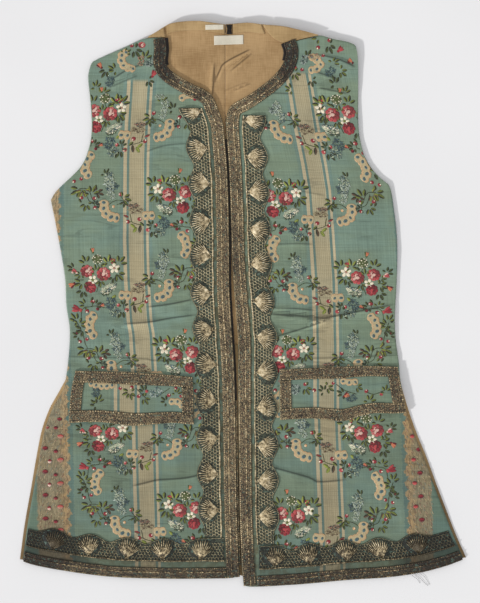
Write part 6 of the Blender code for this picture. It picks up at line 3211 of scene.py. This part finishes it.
@dataclass(frozen=True)
class ShellWork:
    """What is worked on the lace's ground: net, shells, outline cords and the footing."""

    lace: MetalLace
    shop: Workshop
    bright: Material
    net: Material
    rib: Thing
    bead: Thing
    mesh_pitch: float = 4.3
    strand: float = 0.58
    apex: float = 24.6
    fan_middle: float = 39.5
    fan_across: float = 12.6
    fan_along: float = 15.0
    spread: float = 88.0
    tilt: float = 0.2
    ribs: int = 13
    loop_radius: float = 0.36
    outline_radius: float = 0.35
    footing_pitch: float = 2.3
    footing_lean: float = 0.25
    footing_size: Triple = (3.1, 2.3, 3.0)
    rib_parts: tuple[tuple[float, float, float, float], ...] = (
        (0.0, 0.66, 2.2, 2.6), (0.26, 1.02, 1.7, 3.6))

    def onto(self, run: LaceRun, mesh: Mesh, above: float = 0.0) -> Mesh:
        """Lays a mesh made in a run's own measures onto the lace.

        Args:
            run: The run of lace.
            mesh: The mesh: its x along the run, y across it and z above it.
            above: How much higher it lies.

        Returns:
            The same mesh, in place.
        """
        points = points_of(mesh)
        low, high = sorted((run.start, run.end))
        along = np.clip(points[:, 0], low + 0.5, high - 0.5)
        placed = self.lace.surface(run, along, points[:, 1])
        placed[:, 2] += points[:, 2] + above
        set_points(mesh, placed)
        corner = run.bend(np.array((low, low, low + 1)), np.array((30.0, 31.0, 30.0)))
        across, forward = corner[1] - corner[0], corner[2] - corner[0]
        if forward[0] * across[1] - forward[1] * across[0] < 0:
            mesh.flip_normals()
        return mesh

    def shells(self, run: LaceRun) -> list[float]:
        """Lists the shells that stand whole on a run."""
        low, high = sorted((run.start, run.end))
        return [middle for middle in run.shells if low + 4 < middle < high - 4]

    def offset(self, run: LaceRun) -> float:
        """Gives how much further across the run's parts lie than on the front."""
        return run.foot - LACE_FOOT

    def in_fan(self, run: LaceRun, along: Array, across: Array, grow_by: float = 0.0) -> Array:
        """Tells which places lie inside a shell's fan.

        Args:
            run: The run of lace.
            along: Places along the run.
            across: Places across the run.
            grow_by: How much larger the fan is taken.

        Returns:
            Whether each place lies inside.
        """
        inside = np.zeros(np.shape(along), bool)
        for middle in self.shells(run):
            reach = np.hypot((along - middle) / (self.fan_along + grow_by),
                             (across - self.offset(run) - self.fan_middle)
                             / (self.fan_across + grow_by))
            inside |= reach < 1
        return inside

    def netting(self, run: LaceRun) -> Mesh:
        """Makes the hexagonal net between the shells.

        Args:
            run: The run of lace.

        Returns:
            The mesh.
        """
        low, high = sorted((run.start, run.end))
        side = self.mesh_pitch / math.sqrt(3)
        points, edges, known = [], [], {}

        def knot(x: float, y: float) -> int:
            """Gives a knot's number, tying it when it is new.

            Args:
                x: Its place along the run.
                y: Its place across the run.

            Returns:
                Its number.
            """
            key = (round(x * 4), round(y * 4))
            if key not in known:
                known[key] = len(points)
                points.append((x, y))
            return known[key]

        for column in range(int((high - low) / self.mesh_pitch) + 1):
            for row in range(int((run.tip - run.foot) / (1.5 * side)) + 1):
                x = low + (column + 0.5 * (row % 2)) * self.mesh_pitch
                y = run.foot + row * 1.5 * side
                turns = (count * math.pi / 3 for count in range(4))
                ring = [knot(x + side * math.sin(turn), y + side * math.cos(turn))
                        for turn in turns]
                edges += [(ring[0], ring[1]), (ring[1], ring[2]), (ring[2], ring[3])]
        place = np.array(points)
        rim = np.minimum(run.depth(place[:, 0]) - 1.0, run.valley + 3.0)
        shown = ((place[:, 1] > run.foot + 1) & (place[:, 1] < rim)
                 & (place[:, 0] > low + 1) & (place[:, 0] < high - 1)
                 & ~self.in_fan(run, place[:, 0], place[:, 1], 0.5))
        edges = [edge for edge in edges if shown[edge[0]] and shown[edge[1]]]
        flat = mesh_of("net", np.column_stack((place, place[:, 0] * 0)), (), edges)
        made = self.shop.thread.run(flat, Radius=self.strand * MM, Sides=4, Material=self.net)
        return self.onto(run, made, 0.1)

    def fans(self, run: LaceRun) -> Mesh:
        """Makes every shell: a dense heart spread from its foot, and a bright tip on each rib.

        Args:
            run: The run of lace.

        Returns:
            The mesh.
        """
        spots, turns, sizes = [], [], []
        chance = np.random.default_rng(3)
        for middle in self.shells(run):
            lean = chance.uniform(-self.tilt, self.tilt)
            for rib in range(self.ribs):
                around = math.radians(self.spread * (2 * rib / (self.ribs - 1) - 1))
                tip_x = self.fan_along * math.sin(around)
                tip_y = self.fan_middle + self.fan_across * math.cos(around) - self.apex
                turn = math.atan2(tip_y, tip_x) + lean
                length = math.hypot(tip_x, tip_y) * chance.uniform(0.92, 1.03)
                for start, end, wide, high in self.rib_parts:
                    share = (start + end) / 2 * length
                    spots.append((middle + share * math.cos(turn),
                                  self.apex + self.offset(run) + share * math.sin(turn), 0.1))
                    turns.append(turn + chance.uniform(-0.06, 0.06))
                    sizes.append((length * (end - start), wide, high))
        mesh = mesh_of("ribs", np.array(spots), ())
        set_values(mesh, "turn", np.array(turns))
        set_values(mesh, "size", np.array(sizes))
        made = self.shop.scatter.run(mesh, Shape=self.rib, Wobble=0.05, Seed=3,
                                     Material=self.bright)
        return self.onto(run, made)

    def loops(self, run: LaceRun) -> Mesh:
        """Makes the looped thread that crosses the ribs of each shell, and its knot.

        Args:
            run: The run of lace.

        Returns:
            The mesh.
        """
        lines = []
        for middle in self.shells(run):
            foot = self.apex + self.offset(run)
            turn = np.radians(np.linspace(-self.spread, self.spread, 34))
            wave = 0.56 + 0.05 * np.cos(turn * self.ribs * 1.8)
            deep = self.fan_middle + self.fan_across * np.cos(turn) - self.apex
            lines.append(np.column_stack((middle + self.fan_along * np.sin(turn) * wave,
                                          foot + deep * wave, np.full(turn.shape, 0.9))))
            turn = np.radians(np.linspace(0, 300, 10))
            lines.append(np.column_stack((middle + 2.4 * np.cos(turn), foot - 0.6
                                          + 2.0 * np.sin(turn), np.full(turn.shape, 0.8))))
        made = self.shop.thread.run(self.shop.lines(lines), Radius=self.loop_radius * MM, Sides=4,
                                    Material=self.bright)
        return self.onto(run, made)

    def outline(self, run: LaceRun) -> Mesh:
        """Makes the cord along the scalloped side.

        Args:
            run: The run of lace.

        Returns:
            The mesh.
        """
        low, high = sorted((run.start, run.end))
        along = np.linspace(low + 1, high - 1, int((high - low) / 1.3))
        line = np.column_stack((along, run.depth(along) - 0.8, np.full(along.shape, 0.1)))
        made = self.shop.thread.run(self.shop.lines([line]), Radius=self.outline_radius * MM, Sides=4,
                                    Material=self.net)
        return self.onto(run, made)

    def footing(self, run: LaceRun) -> Mesh:
        """Makes the bright twisted cord along the lace's straight side.

        Args:
            run: The run of lace.

        Returns:
            The mesh.
        """
        low, high = sorted((run.start, run.end))
        along = np.linspace(low + 1, high - 1, int((high - low) / 2))
        across = run.foot + 1.3 + 0.6 * np.sin(along / 7) * np.sin(along / 23)
        line = self.shop.lines([np.column_stack((along, across, np.full(along.shape, 0.3)))])
        made = self.shop.twist.run(line, Shape=self.bead, Pitch=self.footing_pitch * MM,
                                   Lean=self.footing_lean, Size=self.footing_size,
                                   Material=self.bright)
        return self.onto(run, made)

    def build(self) -> None:
        """Makes both runs of one front's lace, with the work on them."""
        for run in (self.lace.front_run(), self.lace.hem_run()):
            ground, pieces = self.lace.lay(run), []
            fine = [self.netting(run), self.outline(run)]
            bold = [self.fans(run), self.loops(run), self.footing(run)]
            for word, meshes, finish in (("net", fine, self.net), ("shells", bold, self.bright)):
                name = run.name.replace("shell_lace", f"lace_{word}")
                mesh = with_tarnish(joined(name, meshes))
                pieces.append(new_piece(name, mesh, finish, "metal_lace"))
            self.lace.declare(run, ground, pieces)


@dataclass(frozen=True)
class FrayedThreads:
    """Dark threads that have come loose at the corner of the hem."""

    shop: Workshop
    finish: Material
    radius: float = 0.16
    runs: tuple[Run, ...] = (
        ((232, -364), (239, -370), (246, -377), (250, -380)),
        ((238, -363), (245, -368), (249, -374), (252, -379)),
        ((228, -366), (236, -372), (239, -377)),
    )

    def build(self) -> None:
        """Makes the threads, lying on the pale surface."""
        lines = []
        for run in self.runs:
            flat = Path((run,)).at(np.linspace(0, 1, 14))
            high = np.linspace(1.0, 0.15, 14)
            lines.append(np.column_stack((flat, high)))
        made = self.shop.thread.run(self.shop.lines(lines), Radius=self.radius * MM, Sides=5,
                                    Material=self.finish)
        new_piece("frayed_threads", made, self.finish, "black_tape")


@dataclass(frozen=True)
class EdgeCords:
    """The cords beside the fronts' edges: painted shade where they part, and dark edges at the neck
    that are also painted shade.
    """

    shop: Workshop
    dark: Material
    worn: Material

    def cord(self, name: str, finish: Material, side: Side,
             span: tuple[float, float], radius: float, clear: float,
             below: float) -> Thing:
        """Makes one cord along a front's edge.

        Args:
            name: The cord's name.
            finish: Its material.
            side: The front.
            span: The heights on the garment that it runs between.
            radius: Its radius.
            clear: How far it stands out from the edge.
            below: How far its middle lies below the front's upper side.

        Returns:
            The cord.
        """
        edge = side.edge
        y = np.linspace(*span, 200 if abs(span[1] - span[0]) > 100 else 40)
        share = np.interp(-y, -edge.points[:, 1], edge.lengths / edge.length)
        flat = edge.beside(share, np.full(y.shape, -side.sign * clear))
        inside = edge.beside(share, np.full(y.shape, 2.0 * side.sign))
        high = front_top(side.name)(inside[:, 0], inside[:, 1]) - below
        made = self.shop.thread.run(self.shop.lines([np.column_stack((flat, high))]),
                                    Radius=radius * MM, Sides=6, Material=finish)
        slot = "black_tape" if finish is self.dark else "metal_braid"
        return new_piece(name, with_tarnish(made), finish, slot)

    def build(self) -> None:
        """Makes two cords of painted shade in the parting, a dark one to the pockets and a worn one
        below, and two at the neck.
        """
        for side, span in ((LEFT, (362.0, 322.0)), (RIGHT, (354.0, 328.0))):
            # Black cords along the inner neck edges: a dark turned edge, and painted shade between it
            # and the lining.
            self.cord(f"neck_cord_{side.name}", self.dark, side, span, 2.2, 0.8, 0.9)
        # A dark cord as painted shade in the parting between the fronts, down to the pockets.
        self.cord("edge_cord_left", self.dark, LEFT, (222.0, -130.0), 1.2, 1.2, 0.6)
        # A worn metal cord below it, darkening the lit lining in the parting as painted shade.
        self.cord("edge_cord_low", self.worn, LEFT, (-131.5, -352.0), 1.2, 1.2, 0.6)


# ---------------------------------------------------------------- the whole garment
# For each half, what its back and its front were cut to (width, length in mm, and area in square
# metres) and where its silk's bands lie.
CUTS = {
    "left": ((277, 747, 0.158), (293, 729, 0.160), {"selvedge_from": 109.0}),
    "right": ((325, 756, 0.169), (320, 742.5, 0.157),
              {"selvedge_from": 101.0, "stripe_top": 0.312}),
}


def main() -> None:
    """Builds the garment from its back up."""
    logging.basicConfig(level=logging.INFO, format="%(message)s")
    Studio().build()
    linen = PlainCloth("linen_cloth", (180, 152, 110), (150, 123, 84), Weave.LINEN,
                       soiled=0.5).material()
    lining = PlainCloth("lining_cloth", (180, 149, 108), (146, 116, 78), Weave.LINEN).material()
    white = PlainCloth("white_tape_cloth", (218, 212, 196), (204, 197, 180), Weave.TAPE,
                       slub=0.2).material()
    black = PlainCloth("black_tape_cloth", (38, 34, 32), (20, 18, 18), Weave.TAPE).material()
    braid = MetalThread("braid_thread", (174, 154, 118), (94, 82, 61), (36, 32, 28),
                        verdigris=0.5, rust=0.3).material()
    # The lace's ground: dark tarnished thread, its darkness also painted shade for the holes of the
    # net.
    ground = MetalThread("lace_ground", (88, 94, 76), (50, 56, 46), (22, 24, 21),
                         verdigris=0.6).material()
    cord = MetalThread("cord_thread", (244, 224, 184), (190, 168, 128), (74, 62, 47),
                       grain=260.0, fleck=0.8).material()
    shell = MetalThread("shell_thread", (248, 234, 204), (200, 182, 144), (80, 70, 52),
                        grain=300.0, fleck=0.6).material()
    net = MetalThread("net_thread", (214, 202, 166), (156, 146, 114), (64, 60, 46),
                      fleck=0.8, verdigris=0.25).material()
    bead = bpy.data.objects.new("bead", domed("bead", Motif.BERRY.outline(6), 0.5))
    rib = bpy.data.objects.new("rib", domed("rib", drop_outline(), 0.4, 0.0, (0.14, 0.0)))
    shop = Workshop()
    NeckLining(lining, linen, white, black).build()
    for side in (LEFT, RIGHT):
        back_cut, front_cut, widths = CUTS[side.name]
        LinenBack(side, linen, back_cut).build()
        silk = BrocadedSilk(f"brocaded_silk_{side.name}", int(side.sign), **widths).material()
        front = SilkFront(side, silk, front_cut)
        front.declare(front.build(), [FrontBrocade(front, shop).build()])
        flap = PocketFlap(side, silk)
        flap.declare(flap.build(), [FlapBrocade(flap, shop).build()])
        BraidThreads(Galloon(side, braid), shop, cord, bead).build(flap)
        ShellWork(MetalLace(side, ground), shop, shell, net, rib, bead).build()
    FrayedThreads(shop, black).build()
    EdgeCords(shop, black, braid).build()


if __name__ == "__main__":
    main()
